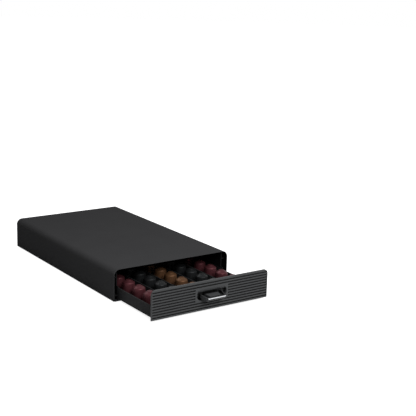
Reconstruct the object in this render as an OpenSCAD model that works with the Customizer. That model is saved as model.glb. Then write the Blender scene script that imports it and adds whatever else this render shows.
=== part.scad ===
// Under-machine drawer for single-serve coffee capsules.
// A moulded sleeve stands on a base plate and carries a coffee machine on its top.
// A shallow tray with five lanes runs between two guide rails behind a ribbed front.
// Frame: X across, Y from front to back, Z up. The origin is the middle of the footprint,
// drawer included, on the surface that the feet stand on.

/* [Lanes] */
// Number of lanes side by side
lane_count = 5; // [4:1:6]
// Number of capsules in each lane
row_count = 10; // [8:1:11]
// Distance between the middles of two lanes
lane_pitch = 46; // [43:0.5:50]
// Distance between the middles of two capsules in a lane
row_pitch = 37.4; // [37.2:0.1:39]

/* [Capsule] */
// Diameter of the rim that the capsule stands on
flange_d = 37.1; // [36:0.1:37.1]
// Thickness of the rim
flange_t = 1.2; // [0.8:0.1:1.6]
// Diameter of the capsule body just above the rim
body_base_d = 29.5; // [28:0.1:31]
// Diameter of the capsule body at its shoulder
shoulder_d = 23.2; // [22:0.1:25]
// Height of the shoulder above the rim's underside
shoulder_h = 24.2; // [23:0.1:25]
// Diameter of the flat tip
tip_d = 11.4; // [10:0.1:12]
// How much narrower the tip is at its top than at the shoulder cone
tip_draft = 1; // [0.4:0.1:2]
// Height at which the shoulder cone meets the tip
cone_h = 27.8; // [27:0.1:27.8]
// Full height of the capsule
capsule_h = 28.6; // [28.4:0.1:31]
// Wall of the capsule
capsule_wall = 0.5; // [0.4:0.05:0.8]
// Thickness of the foil that closes the capsule
foil_t = 0.3; // [0.2:0.05:0.4]
// Margin between the foil's edge and the rim's edge
foil_margin = 0.9; // [0.5:0.1:1.5]

/* [Tray] */
// Thickness of the tray's side and back walls
tray_wall = 1.8; // [1.5:0.1:2.4]
// Thickness of the tray's front wall, which the front is screwed to
tray_front_t = 2; // [1.6:0.1:2.6]
// Thickness of the tray floor
floor_t = 1.8; // [1.6:0.1:2.4]
// Height of the tray walls above the tray floor
wall_h = 18; // [15:0.1:20]
// Depth of the glide ribs and the skirt below the tray floor
skirt_h = 1.5; // [1.4:0.1:2.4]
// Width of one glide rib
glide_w = 3; // [2:0.1:5]
// Space between the end capsules' rims and the tray's end walls
end_gap = 0.25; // [0.2:0.05:0.6]

/* [Dividers] */
// Thickness of a lane divider at its foot
divider_foot_t = 3; // [2.6:0.1:3.6]
// Thickness of a lane divider at its rounded top
divider_top_t = 1.6; // [1.2:0.1:2.2]
// Height of a lane divider above the tray floor
divider_h = 20; // [16:0.1:22]
// Number of tabs that hold one divider in the floor
tab_count = 3; // [2:1:4]
// Length of one tab
tab_l = 14; // [8:1:20]

/* [Front] */
// Thickness of the front
front_t = 3.2; // [3:0.1:4]
// Distance from the case's side face to the front's side edge
front_inset = 1; // [0.5:0.1:3]
// Distance from the case's bottom edge up to the front's bottom edge
front_lift = 3.5; // [2:0.1:5]
// Distance from the front's top edge up to the case's top face
front_drop = 3.1; // [2.5:0.1:5]
// Radius of the front's two top corners
front_corner_r = 8.5; // [5:0.1:10]
// Number of horizontal grooves between the ribs
groove_count = 10; // [8:1:10]
// Width of a groove at the face
groove_w = 2.4; // [1.8:0.1:2.8]
// Width of a groove at its floor
groove_floor_w = 1.6; // [1:0.1:1.7]
// Depth of a groove
groove_depth = 1.5; // [1:0.1:1.7]
// Distance between the middles of two grooves
groove_pitch = 5; // [4.8:0.1:5.2]
// Distance from the front's top edge down to the middle of the highest groove
groove_drop = 5; // [4.5:0.1:5.5]
// Distance from the ends of the grooves to the front's side edges
groove_end = 1.9; // [1.6:0.1:4]
// Width of the smooth pad round the finger recess
pad_w = 71; // [69:0.5:80]

/* [Pull] */
// Width of the finger recess at the face
recess_w = 64; // [63:0.5:66]
// Depth of the finger recess
recess_depth = 7.5; // [6.5:0.1:7.8]
// Height of the recess's lower edge above the case's bottom edge
recess_lift = 23; // [22:0.1:25]
// Height of the recess at the face
recess_h = 19.8; // [19.6:0.1:20.6]
// Radius of the recess's two lower corners
recess_low_r = 8.5; // [6:0.5:8.5]
// Radius of the recess's two upper corners
recess_top_r = 9.5; // [8:0.5:9.5]
// How far the centre of the round lip lies behind the recess's back and above its top
lip_shift = 1; // [0.6:0.1:1.6]
// Wall behind the recess
recess_wall = 1.4; // [1.2:0.1:1.8]
// Width of the grip where it leaves the recess
grip_root_w = 46; // [42:0.5:47]
// Width of the grip at its front edge
grip_tip_w = 38.6; // [34:0.2:42]
// How far the grip stands out of the front
grip_reach = 17; // [12:0.5:22]
// Length of the bevel on the grip's two rear corners
grip_root_bevel = 1.5; // [1:0.1:3]
// Height of the grip at its root
grip_root_h = 10; // [8:0.1:10.2]
// Height of the grip at its front edge
grip_tip_h = 6.6; // [5.5:0.1:8]
// How much lower the grip's front top edge lies than its root top edge
grip_fall = 2.5; // [1:0.1:3]
// Width of the grip's edge beside the channel in its top
grip_rim_w = 1.2; // [0.8:0.1:2]
// Width of the grip's edge in front of that channel
grip_front_rim_w = 1.8; // [1.2:0.1:2.4]
// Width of the channel
channel_w = 1.1; // [0.8:0.1:1.6]
// Depth of the channel
channel_depth = 1.4; // [0.8:0.1:2]
// Height of the bright strip on the grip's edge
trim_h = 2.2; // [1.8:0.1:3]
// Thickness of the bright strip
trim_t = 1.2; // [0.8:0.1:1.6]
// Diameter of the two pegs that fix the grip in the recess
peg_d = 3.2; // [2.6:0.1:4]
// Distance between the two pegs
peg_pitch = 26; // [20:0.5:32]
// How far a peg stands out behind the recess wall
peg_out = 0.8; // [0.5:0.1:1]

/* [Case] */
// Thickness of the case's top, side and back walls
case_wall = 2.5; // [2:0.1:3]
// Outer radius of the case's two long top edges
case_corner_r = 12; // [9.5:0.1:13]
// Space between the capsules' tips and the case's ceiling
headroom = 23.6; // [20:0.1:30]
// Space between the closed tray and the case's back wall
rear_space = 49.8; // [20:0.1:60]
// Height of the stiffening ribs under the case's ceiling
ceiling_rib_h = 1.8; // [1:0.1:2.5]
// Thickness of the stiffening ribs under the case's ceiling
ceiling_rib_t = 1.6; // [1:0.1:2.4]
// Number of stiffening ribs along the case
ceiling_rib_count = 5; // [3:1:7]
// Distance from the mouth to the start of the ceiling ribs
ceiling_rib_start = 14; // [8:1:30]

/* [Guides] */
// Thickness of a guide rail
guide_t = 1.8; // [1.5:0.1:2.4]
// Running gap between the tray and a guide rail
side_gap = 0.7; // [0.4:0.1:1]
// Space between a guide rail and the case's side wall
guide_space = 6.1; // [5.8:0.1:8]
// Distance from the mouth to the front end of a guide rail
guide_setback = 1.5; // [1:0.1:6]
// How far the hold-down ledge reaches over the tray wall
ledge_w = 2.4; // [1.6:0.1:3]
// Thickness of the hold-down ledge and of the outer flanges
ledge_t = 1.6; // [1.2:0.1:2.2]
// Distance from the mouth end of a guide rail to the start of its ledge
ledge_setback = 4; // [0:0.5:10]
// Height of the lower outer flange above the base plate
flange_low = 8; // [4:0.5:16]
// Distance of the upper outer flange below the case's rounded edge
flange_high = 6; // [3:0.5:12]
// Gap between the tray wall's top and the hold-down ledge
ledge_gap = 0.6; // [0.4:0.1:1]

/* [Base] */
// Thickness of the base plate
base_t = 1.8; // [1.6:0.1:2.6]
// Height of the runner ribs on the base plate
runner_h = 0.6; // [0.5:0.1:1.2]
// Width of one runner rib
runner_w = 5; // [4:0.1:8]
// Gap between the runner ribs and the tray's glide ribs
runner_gap = 0.3; // [0.2:0.05:0.5]
// Diameter of a rubber foot
foot_d = 14; // [10:0.5:18]
// How far a foot stands out below the case
foot_out = 1.2; // [0.8:0.1:3]
// Depth of the pocket that a foot is glued into
foot_pocket = 0.8; // [0.5:0.1:1]
// Distance from the case's side and end faces to the feet
foot_inset = 26; // [20:1:40]
// Width of one stop block
stop_w = 16; // [10:1:20]
// Thickness of one stop block
stop_t = 3; // [2:0.1:5]
// Gap above the stop block, below the tray floor
stop_clear = 0.5; // [0.4:0.1:0.8]

/* [Screws] */
// Diameter of the bosses that the case screws run into
boss_d = 5.6; // [5.2:0.1:5.6]
// Diameter of a case screw
case_screw_d = 2.8; // [2.4:0.1:3]
// Diameter of a case screw's head
case_head_d = 4.8; // [4.4:0.1:5]
// Height of a case screw's head
case_head_h = 1.4; // [1:0.1:1.6]
// Length of a case screw under its head
case_screw_l = 14; // [10:0.5:18]
// Thickness of the rib between a boss and the side wall
boss_rib_t = 1.6; // [1.2:0.1:2.4]
// Number of case screws along one side
case_screw_count = 3; // [2:1:4]
// Distance from the case's ends to the first and last case screw
case_screw_end = 20; // [14:1:40]
// Diameter of a front screw
front_screw_d = 2.4; // [2:0.1:2.6]
// Diameter of a front screw's washer head
front_head_d = 8; // [7:0.1:9]
// Thickness of a front screw's washer head
front_head_h = 1.4; // [1:0.1:1.6]
// Length of a front screw under its head
front_screw_l = 3.4; // [2.6:0.1:3.6]
// Diameter of the front's screw spigots, which pass through the tray's front wall
spigot_d = 5.6; // [5:0.1:6]
// Width of the cross slot in a screw head
slot_w = 0.7; // [0.5:0.1:1]
// Depth of the cross slot in a screw head
slot_depth = 0.6; // [0.4:0.1:0.8]
// Length of the cross slot as a share of the head's diameter
slot_share = 0.5; // [0.4:0.05:0.7]
// How far a case screw's hole goes on past its tip
pilot_spare = 1; // [0.5:0.1:2]
// Clearance round a shank, spigot, peg, tab or foot in its hole
hole_clear = 0.15; // [0.1:0.05:0.2]

/* [Travel] */
// Distance from the case's mouth to the drawer front's face, as drawn
drawer_out = 128.3; // [60:0.1:200]
// The same distance where the stops meet
full_out = 298.3; // [240:0.1:310]
// Gap left at the stops at either end of the travel
stop_gap = 0.3; // [0.2:0.1:1]

/* [Hidden] */
$fn = 72;
cut = 1;

// Heights above the surface
base_z = foot_out;
plate_top = base_z + base_t;
pad_top = plate_top + case_head_h;
runner_top = plate_top + runner_h;
skirt_z = runner_top + runner_gap;
floor_z = skirt_z + skirt_h;
floor_top = floor_z + floor_t;
wall_top = floor_top + wall_h;
capsule_z = floor_top + foil_t;
capsule_top = capsule_z + capsule_h;
ceiling_z = capsule_top + headroom;
case_top = ceiling_z + case_wall;

// Widths
tray_w = lane_count * lane_pitch + tray_wall;
guide_in = tray_w / 2 + side_gap;
guide_out = guide_in + guide_t;
case_in = guide_out + guide_space;
case_w = 2 * (case_in + case_wall);
boss_x = (guide_out + case_in) / 2;
stop_x = (lane_count / 4) * lane_pitch;

// Depths measured back from the front's face
tray_front_y = front_t;
tray_in_y = tray_front_y + tray_front_t;
first_row_y = tray_in_y + end_gap + flange_d / 2;
last_row_y = first_row_y + (row_count - 1) * row_pitch;
tray_back_y = last_row_y + flange_d / 2 + end_gap;
tray_end_y = tray_back_y + tray_wall;

// Depths measured back from the case's mouth
closed_out = front_t + stop_gap;
case_in_d = tray_end_y - closed_out + rear_space;
case_d = case_in_d + case_wall;
mouth_y = (drawer_out + grip_reach - case_d) / 2;
stop_y = tray_back_y - full_out - stop_gap;

// The rounded inner corner limits how high a guide rail can stand
inner_corner_r = case_corner_r - case_wall;
corner_x = case_w / 2 - case_corner_r;
corner_z = case_top - case_corner_r;
corner_reach = max(0, guide_out - corner_x);
guide_top = corner_z + sqrt(pow(inner_corner_r, 2) - pow(corner_reach, 2)) - stop_gap;

// The front and its grooves
front_w = case_w - 2 * front_inset;
front_z = base_z + front_lift;
front_top = case_top - front_drop;
front_h = front_top - front_z;
first_groove_z = front_top - groove_drop - (groove_count - 1) * groove_pitch;
recess_z = base_z + recess_lift;
recess_top = recess_z + recess_h;
lip_r = sqrt(pow(recess_depth + lip_shift, 2) + pow(lip_shift, 2));
pad_margin = 2;
lip_over = 0.2;
tip_room = 0.3;
grip_top = recess_z + grip_root_h;
peg_z = recess_z + grip_root_h / 2;
spigot_z = (floor_top + wall_top) / 2;
notch_gap = 1;
notch_half = recess_w / 2 + recess_wall + notch_gap;
notch_z = recess_z - recess_wall - notch_gap;

// Children are placed from the middle of the case's mouth
module from_mouth() {
    translate([0, mouth_y, 0])
        children();
}

// Children are placed from the middle of the drawer front's face
module from_drawer() {
    translate([0, mouth_y - drawer_out, 0])
        children();
}

// Children are repeated on the left and the right
module both_sides() {
    for (side = [-1, 1])
        translate([side * boss_x, 0, 0])
            children();
}

// A block from one corner to the other
module block(low, high) {
    translate(low)
        cube(high - low);
}

// An upright outline with square feet and two rounded shoulders
module arch_outline(width, height, radius) {
    translate([-width / 2, 0])
        square([width, height - radius]);
    translate([radius - width / 2, 0])
        square([width - 2 * radius, height]);
    for (side = [-1, 1])
        translate([side * (width / 2 - radius), height - radius])
            circle(radius);
}

// The same outline as a solid that runs back along Y
module arch(width, height, radius, depth) {
    translate([0, depth, 0])
        rotate([90, 0, 0])
            linear_extrude(depth)
                arch_outline(width, height, radius);
}

function screw_y(i) = case_screw_end
    + i * (case_d - 2 * case_screw_end) / (case_screw_count - 1);

function lane_x(i) = (i - (lane_count - 1) / 2) * lane_pitch;

// Children are placed at the four glide ribs, two near the middle and two near the sides
module at_glides() {
    for (side = [-1, 1])
        for (x = [lane_pitch / 4, lane_x(lane_count - 1) + lane_pitch / 4])
            translate([side * x, 0, 0])
                children();
}

// ---- Case ----

module ceiling_ribs() {
    half = lane_x(lane_count - 1);
    low = ceiling_z - ceiling_rib_h;
    high = ceiling_z + case_wall / 2;
    for (i = [0 : ceiling_rib_count - 1]) {
        share = i / (ceiling_rib_count - 1);
        translate([(2 * share - 1) * half, 0, 0])
            block([-ceiling_rib_t / 2, ceiling_rib_start, low],
                  [ceiling_rib_t / 2, case_in_d + case_wall / 2, high]);
        translate([0, ceiling_rib_start + share * (case_in_d - 2 * ceiling_rib_start), 0])
            block([-half, -ceiling_rib_t / 2, low], [half, ceiling_rib_t / 2, high]);
    }
}

// Children are repeated at every case screw
module at_case_screws() {
    both_sides()
        for (i = [0 : case_screw_count - 1])
            translate([0, screw_y(i), 0])
                children();
}

module sleeve_form() {
    translate([0, 0, base_z])
        arch(case_w, case_top - base_z, case_corner_r, case_d);
}

// Screw bosses, each tied to the side wall by a rib
module screw_bosses() {
    intersection() {
        sleeve_form();
        union() {
            at_case_screws()
                translate([0, 0, pad_top])
                    cylinder(h = case_top - pad_top, d = boss_d);
            for (side = [-1, 1])
                for (i = [0 : case_screw_count - 1])
                    translate([side * case_in, screw_y(i), 0])
                        block([-case_in + boss_x, -boss_rib_t / 2, pad_top],
                              [case_in - boss_x, boss_rib_t / 2, case_top]);
        }
    }
}

// Sleeve: top, sides and back in one moulding, open below and at the mouth
module case_shell() {
    color("#262626")
    from_mouth()
    difference() {
        union() {
            difference() {
                sleeve_form();
                translate([0, -cut, 0])
                    arch(2 * case_in, ceiling_z, inner_corner_r, case_in_d + cut);
            }
            ceiling_ribs();
            screw_bosses();
        }
        at_case_screws()
            translate([0, 0, pad_top - cut])
                cylinder(h = case_screw_l + cut + pilot_spare, d = case_screw_d + 2 * hole_clear);
    }
}

module screw_pads() {
    at_case_screws()
        translate([0, 0, base_z])
            cylinder(h = pad_top - base_z, d = boss_d);
}

module screw_pad_holes() {
    at_case_screws()
        translate([0, 0, base_z - cut]) {
            cylinder(h = case_head_h + cut, d = case_head_d + 2 * hole_clear);
            cylinder(h = pad_top - base_z + 2 * cut, d = case_screw_d + 2 * hole_clear);
        }
}

module at_feet() {
    for (side = [-1, 1])
        for (y = [foot_inset, case_d - foot_inset])
            translate([side * (case_w / 2 - foot_inset), y, 0])
                children();
}

// Base plate with runner ribs, screw pads, a front sill and two stop blocks
module base_plate() {
    half = case_in - hole_clear;
    color("#202020")
    from_mouth()
    difference() {
        union() {
            block([-half, 0, base_z], [half, case_in_d - hole_clear, plate_top]);
            block([-guide_in, 0, base_z], [guide_in, runner_w, runner_top]);
            at_glides()
                block([-runner_w / 2, 0, base_z],
                      [runner_w / 2, case_in_d - hole_clear, runner_top]);
            for (side = [-1, 1])
                translate([side * stop_x, stop_y, 0])
                    block([-stop_w / 2, -stop_t, base_z], [stop_w / 2, 0, floor_z - stop_clear]);
            screw_pads();
        }
        screw_pad_holes();
        at_feet()
            translate([0, 0, base_z - cut])
                cylinder(h = foot_pocket + cut, d = foot_d + 2 * hole_clear);
    }
}

// Right-hand guide rail: a web, a hold-down ledge and two flanges round the bosses
module guide_rail() {
    front = guide_setback;
    back = case_in_d - hole_clear;
    ledge_z = wall_top + ledge_gap;
    difference() {
        union() {
            block([guide_in, front, plate_top], [guide_out, back, guide_top]);
            block([guide_in - ledge_w, front + ledge_setback, ledge_z], [guide_out, back, ledge_z + ledge_t]);
            for (z = [plate_top + flange_low, corner_z - flange_high])
                block([guide_in, front, z], [case_in - hole_clear, back, z + ledge_t]);
        }
        for (i = [0 : case_screw_count - 1])
            translate([boss_x, screw_y(i), plate_top - cut]) {
                cylinder(h = case_top, d = boss_d + 2 * hole_clear);
                block([0, -boss_rib_t / 2 - hole_clear, 0],
                      [case_in, boss_rib_t / 2 + hole_clear, case_top]);
            }
    }
}

module guide_rail_left() {
    color("#1e1e1e")
        from_mouth()
            mirror([1, 0, 0])
                guide_rail();
}

module guide_rail_right() {
    color("#1e1e1e")
        from_mouth()
            guide_rail();
}

// Case screws, heads down and flush in the base plate
module case_screws() {
    color("#5a5c5e")
    from_mouth()
    at_case_screws()
        translate([0, 0, base_z])
            difference() {
                union() {
                    cylinder(h = case_head_h, d = case_head_d);
                    cylinder(h = case_head_h + case_screw_l, d = case_screw_d);
                }
                cross_slot(case_head_d * slot_share);
            }
}

// Cross slot in a screw head whose outer face lies at Z = 0
module cross_slot(length) {
    for (turn = [0, 90])
        rotate([0, 0, turn])
            cube([length, slot_w, 2 * slot_depth], center = true);
}

module rubber_feet() {
    color("#141414")
    from_mouth()
        at_feet()
            cylinder(h = foot_out + foot_pocket, d = foot_d);
}

// ---- Drawer ----

module at_spigots() {
    for (i = [0, 1, lane_count - 2, lane_count - 1])
        translate([lane_x(i), 0, spigot_z])
            rotate([-90, 0, 0])
                children();
}

module tab_places() {
    span = tray_back_y - tray_in_y;
    for (i = [0 : tab_count - 1])
        translate([0, tray_in_y + (i + 0.5) * span / tab_count, 0])
            children();
}

// Tray: floor, low walls, skirt, glide ribs and the slots that hold the dividers
module drawer_tray() {
    half = tray_w / 2;
    color("#242424")
    from_drawer()
    difference() {
        union() {
            difference() {
                block([-half, tray_front_y, skirt_z], [half, tray_end_y, wall_top]);
                block([tray_wall - half, tray_in_y, floor_top],
                      [half - tray_wall, tray_back_y, wall_top + cut]);
                block([tray_wall - half, tray_in_y, skirt_z - cut],
                      [half - tray_wall, tray_back_y, floor_z]);
            }
            at_glides()
                block([-glide_w / 2, tray_front_y, skirt_z],
                      [glide_w / 2, tray_end_y, floor_top]);
        }
        at_spigots()
            cylinder(h = tray_in_y + cut, d = spigot_d + 2 * hole_clear);
        block([-notch_half, tray_front_y - cut, notch_z],
              [notch_half, tray_in_y + cut, wall_top + cut]);
        for (i = [0 : lane_count - 2])
            translate([lane_x(i + 0.5), 0, 0])
                tab_places()
                    block([-divider_top_t / 2 - hole_clear, -tab_l / 2 - hole_clear, floor_z - cut],
                          [divider_top_t / 2 + hole_clear, tab_l / 2 + hole_clear, floor_top + cut]);
    }
}

// Drafted wall with a rounded top, from one depth to another
module divider_wall(low, high) {
    straight = divider_h - divider_top_t / 2;
    translate([0, high, floor_top])
        rotate([90, 0, 0])
            linear_extrude(high - low) {
                polygon([
                    [-divider_foot_t / 2, 0],
                    [divider_foot_t / 2, 0],
                    [divider_top_t / 2, straight],
                    [-divider_top_t / 2, straight]
                ]);
                translate([0, straight])
                    circle(d = divider_top_t);
            }
}

// Lane divider with tabs through the tray floor, stepped down in front where it meets the recess
module lane_divider(i) {
    color("#2a2a2a")
    from_drawer()
    difference() {
        translate([lane_x(i - 0.5), 0, 0]) {
            divider_wall(tray_in_y + hole_clear, tray_back_y - hole_clear);
            tab_places()
                block([-divider_top_t / 2, -tab_l / 2, floor_z],
                      [divider_top_t / 2, tab_l / 2, floor_top + cut / 2]);
        }
        block([-notch_half, tray_front_y, notch_z],
              [notch_half, recess_depth + recess_wall + notch_gap, case_top]);
    }
}

module lane_divider_1() { lane_divider(1); }
module lane_divider_2() { lane_divider(2); }
module lane_divider_3() { lane_divider(3); }
module lane_divider_4() { lane_divider(4); }

// Outline of the finger recess, grown by the given wall; it goes on above the line where the
// round lip meets the face
module recess_outline(grow) {
    half = recess_w / 2 + grow;
    low = recess_z - grow;
    high = recess_top + lip_over + grow;
    low_r = recess_low_r + grow;
    top_r = recess_top_r + grow;
    translate([-half, low + low_r])
        square([2 * half, high - top_r - low - low_r]);
    translate([low_r - half, low])
        square([2 * (half - low_r), low_r]);
    translate([top_r - half, high - top_r])
        square([2 * (half - top_r), top_r]);
    for (side = [-1, 1]) {
        translate([side * (half - low_r), low + low_r])
            circle(low_r);
        translate([side * (half - top_r), high - top_r])
            circle(top_r);
    }
}

// Body of the finger recess, grown by the given wall and starting at the given depth: a flat
// back below, and above it a round lip that runs out into the face
module recess_body(grow, start) {
    difference() {
        translate([0, recess_depth + grow, 0])
            rotate([90, 0, 0])
                linear_extrude(recess_depth + grow - start)
                    recess_outline(grow);
        translate([-recess_w, recess_depth + lip_shift, recess_top + lip_shift])
            rotate([0, 90, 0])
                cylinder(h = 2 * recess_w, r = lip_r - grow);
    }
}

// One groove between two ribs, along X from one end to the other
module groove(from_x, to_x, z) {
    translate([from_x, 0, z])
        rotate([90, 0, 90])
            linear_extrude(to_x - from_x)
                polygon([
                    [-cut, -groove_w / 2],
                    [0, -groove_w / 2],
                    [groove_depth, -groove_floor_w / 2],
                    [groove_depth, groove_floor_w / 2],
                    [0, groove_w / 2],
                    [-cut, groove_w / 2]
                ]);
}

module grooves() {
    end = front_w / 2 - groove_end;
    for (i = [0 : groove_count - 1]) {
        z = first_groove_z + i * groove_pitch;
        beside_pad = z > recess_z - pad_margin && z < recess_top + pad_margin;
        for (side = [0, 1])
            mirror([side, 0, 0])
                groove(beside_pad ? pad_w / 2 : -cut, end, z);
    }
}

// Ribbed front with the finger recess and four screw spigots
module drawer_front() {
    color("#2b2b2b")
    from_drawer()
    difference() {
        union() {
            translate([0, 0, front_z])
                arch(front_w, front_h, front_corner_r, front_t);
            recess_body(recess_wall, 0);
            at_spigots()
                cylinder(h = tray_in_y, d = spigot_d);
        }
        recess_body(0, -cut);
        grooves();
        at_spigots()
            translate([0, 0, tray_in_y - front_screw_l - hole_clear])
                cylinder(h = front_screw_l + cut, d = front_screw_d + 2 * hole_clear);
        for (side = [-1, 1])
            translate([side * peg_pitch / 2, recess_depth - cut, peg_z])
                rotate([-90, 0, 0])
                    cylinder(h = recess_wall + 2 * cut, d = peg_d + 2 * hole_clear);
    }
}

// Washer-head screws that pull the front's spigots into the tray
module front_screws() {
    color("#5a5c5e")
    from_drawer()
    at_spigots() {
        translate([0, 0, tray_in_y - front_screw_l])
            cylinder(h = front_screw_l + front_head_h / 2, d = front_screw_d);
        translate([0, 0, tray_in_y])
            difference() {
                cylinder(h = front_head_h, d = front_head_d);
                translate([0, 0, front_head_h])
                    cross_slot(front_head_d * slot_share);
            }
    }
}

// Outline of the grip seen from above, narrowing towards its front edge
module grip_plan(inset) {
    root = grip_root_w / 2 - inset;
    tip = grip_tip_w / 2 - inset;
    polygon([
        [grip_root_bevel - root, recess_depth],
        [-root, recess_depth - grip_root_bevel],
        [-root, 0],
        [-tip, -grip_reach + trim_t],
        [tip, -grip_reach + trim_t],
        [root, 0],
        [root, recess_depth - grip_root_bevel],
        [root - grip_root_bevel, recess_depth]
    ]);
}

// Side outline of the grip: Y to the right, Z up
module grip_side(drop) {
    tip_top = grip_top - grip_fall;
    polygon([
        [-grip_reach, tip_top - grip_tip_h],
        [0, recess_z],
        [recess_depth, recess_z],
        [recess_depth, grip_top - drop],
        [0, grip_top - drop],
        [-grip_reach, tip_top - drop]
    ]);
}

// Column over the grip's plan, drawn in at the sides and shifted back from its front edge
module grip_column(inset, shift) {
    translate([0, shift, 0])
        linear_extrude(case_top)
            grip_plan(inset);
}

module grip_prism(inset, drop) {
    intersection() {
        grip_column(inset, 0);
        rotate([90, 0, 90])
            translate([0, 0, -grip_root_w])
                linear_extrude(2 * grip_root_w)
                    grip_side(drop);
    }
}

// Shelf-like grip with a channel round its top and two pegs at its root
module pull_grip() {
    color("#2e2e2e")
    from_drawer() {
        difference() {
            grip_prism(0, 0);
            difference() {
                grip_column(grip_rim_w, grip_front_rim_w);
                grip_column(grip_rim_w + channel_w, grip_front_rim_w + channel_w);
                grip_prism(-cut, channel_depth);
            }
        }
        for (side = [-1, 1])
            translate([side * peg_pitch / 2, recess_depth - cut, peg_z])
                rotate([-90, 0, 0])
                    cylinder(h = cut + recess_wall + peg_out, d = peg_d);
    }
}

// Bright strip along the grip's front edge
module pull_trim() {
    top = grip_top - grip_fall;
    color("#d8dadc")
    from_drawer()
        block([-grip_tip_w / 2, -grip_reach, top - trim_h],
              [grip_tip_w / 2, -grip_reach + trim_t, top]);
}

// ---- Capsules ----

// Tapered body and shoulder of a capsule, made thinner by the given wall; a thicker wall lowers the shoulder
// cone's end inside, so that a tip of tip_room stays above it
module capsule_form(wall) {
    cone_top = min(cone_h, capsule_h - wall - tip_room);
    cylinder(h = shoulder_h, d1 = body_base_d - 2 * wall, d2 = shoulder_d - 2 * wall);
    translate([0, 0, shoulder_h])
        cylinder(h = cone_top - shoulder_h, d1 = shoulder_d - 2 * wall, d2 = tip_d - 2 * wall);
    translate([0, 0, cone_top])
        cylinder(h = capsule_h - cone_top - wall, d1 = tip_d - 2 * wall,
                 d2 = tip_d - 2 * wall - tip_draft);
}

module capsule() {
    difference() {
        union() {
            cylinder(h = flange_t, d = flange_d);
            capsule_form(0);
        }
        translate([0, 0, -cut])
            cylinder(h = 2 * cut, d = body_base_d - 2 * capsule_wall);
        capsule_form(capsule_wall);
    }
}

module lane_places(i) {
    from_drawer()
        for (row = [0 : row_count - 1])
            translate([lane_x(i - 1), first_row_y + row * row_pitch, floor_top])
                children();
}

module lane_capsules(i) {
    lane_places(i)
        translate([0, 0, foil_t])
            capsule();
}

module capsules_lane_1() { color("#5c2530") lane_capsules(1); }
module capsules_lane_2() { color("#2c2e30") lane_capsules(2); }
module capsules_lane_3() { color("#8a6038") lane_capsules(3); }
module capsules_lane_4() { color("#2c2e30") lane_capsules(4); }
module capsules_lane_5() { color("#5c2530") lane_capsules(5); }

// Foils that close the capsules below
module capsule_foils() {
    color("#b9bbbd")
    for (i = [1 : lane_count])
        lane_places(i)
            cylinder(h = foil_t, d = flange_d - 2 * foil_margin);
}

case_shell();
base_plate();
guide_rail_left();
guide_rail_right();
case_screws();
rubber_feet();
drawer_tray();
lane_divider_1();
lane_divider_2();
lane_divider_3();
lane_divider_4();
drawer_front();
front_screws();
pull_grip();
pull_trim();
capsules_lane_1();
capsules_lane_2();
capsules_lane_3();
capsules_lane_4();
capsules_lane_5();
capsule_foils();
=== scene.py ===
"""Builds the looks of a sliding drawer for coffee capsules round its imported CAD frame.

Each piece has an operator of its own in the sidebar tab "Capsule Drawer", and main() runs them all.
Lengths are in metres, in the frame of the CAD part: X across, Y from front to back, Z up.
"""

import math

import bmesh
import bpy
from mathutils import Matrix, Vector


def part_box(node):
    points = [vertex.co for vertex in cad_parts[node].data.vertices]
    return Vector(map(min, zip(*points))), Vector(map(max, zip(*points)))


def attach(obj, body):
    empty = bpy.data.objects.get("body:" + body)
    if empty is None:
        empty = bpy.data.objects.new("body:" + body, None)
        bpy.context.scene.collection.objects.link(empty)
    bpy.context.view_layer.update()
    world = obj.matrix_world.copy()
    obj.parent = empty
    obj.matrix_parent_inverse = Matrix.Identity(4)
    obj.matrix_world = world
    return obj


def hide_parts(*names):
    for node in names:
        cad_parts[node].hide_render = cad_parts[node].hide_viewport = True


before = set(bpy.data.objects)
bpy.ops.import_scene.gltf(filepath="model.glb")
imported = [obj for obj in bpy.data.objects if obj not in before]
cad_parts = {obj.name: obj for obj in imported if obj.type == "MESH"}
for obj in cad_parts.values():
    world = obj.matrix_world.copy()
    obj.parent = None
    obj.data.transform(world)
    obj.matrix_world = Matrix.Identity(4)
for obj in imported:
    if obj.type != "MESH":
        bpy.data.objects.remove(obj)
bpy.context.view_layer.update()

bl_info = {
    "name": "Capsule Drawer Builder",
    "version": (1, 0, 0),
    "blender": (4, 5, 0),
    "location": "3D View > Sidebar > Capsule Drawer",
    "description": "Builds a drawer for coffee capsules, piece by piece, with its finishes and studio",
    "category": "Add Mesh",
}

MM = 0.001
LANES = 5
ALONG_Y = (-math.pi / 2, 0, 0)  # turn that lays an upright form along Y

# Corners of the CAD nodes' boxes
SLEEVE_LOW, SLEEVE_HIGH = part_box("case_shell")
FRONT_LOW, FRONT_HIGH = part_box("drawer_front")
TRIM_LOW, TRIM_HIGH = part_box("pull_trim")
LANE_LOW, LANE_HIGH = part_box("capsules_lane_1")
SCREW_LOW, SCREW_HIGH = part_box("case_screws")
FRONT_SCREW_LOW, FRONT_SCREW_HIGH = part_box("front_screws")
FOOT_LOW, FOOT_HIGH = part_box("rubber_feet")

# Sizes of the CAD nodes that no box gives
CAD_ROWS = 10
SCREW_HEAD = 4.8 * MM
HEAD_HEIGHT = 1.4 * MM
BOSS_LIFT = 3.2 * MM  # from the case screws' lowest point to the bosses' ends
FOOT = 14 * MM
FOIL_INSET = 1.8 * MM  # how much smaller a foil is than the rim

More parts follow.
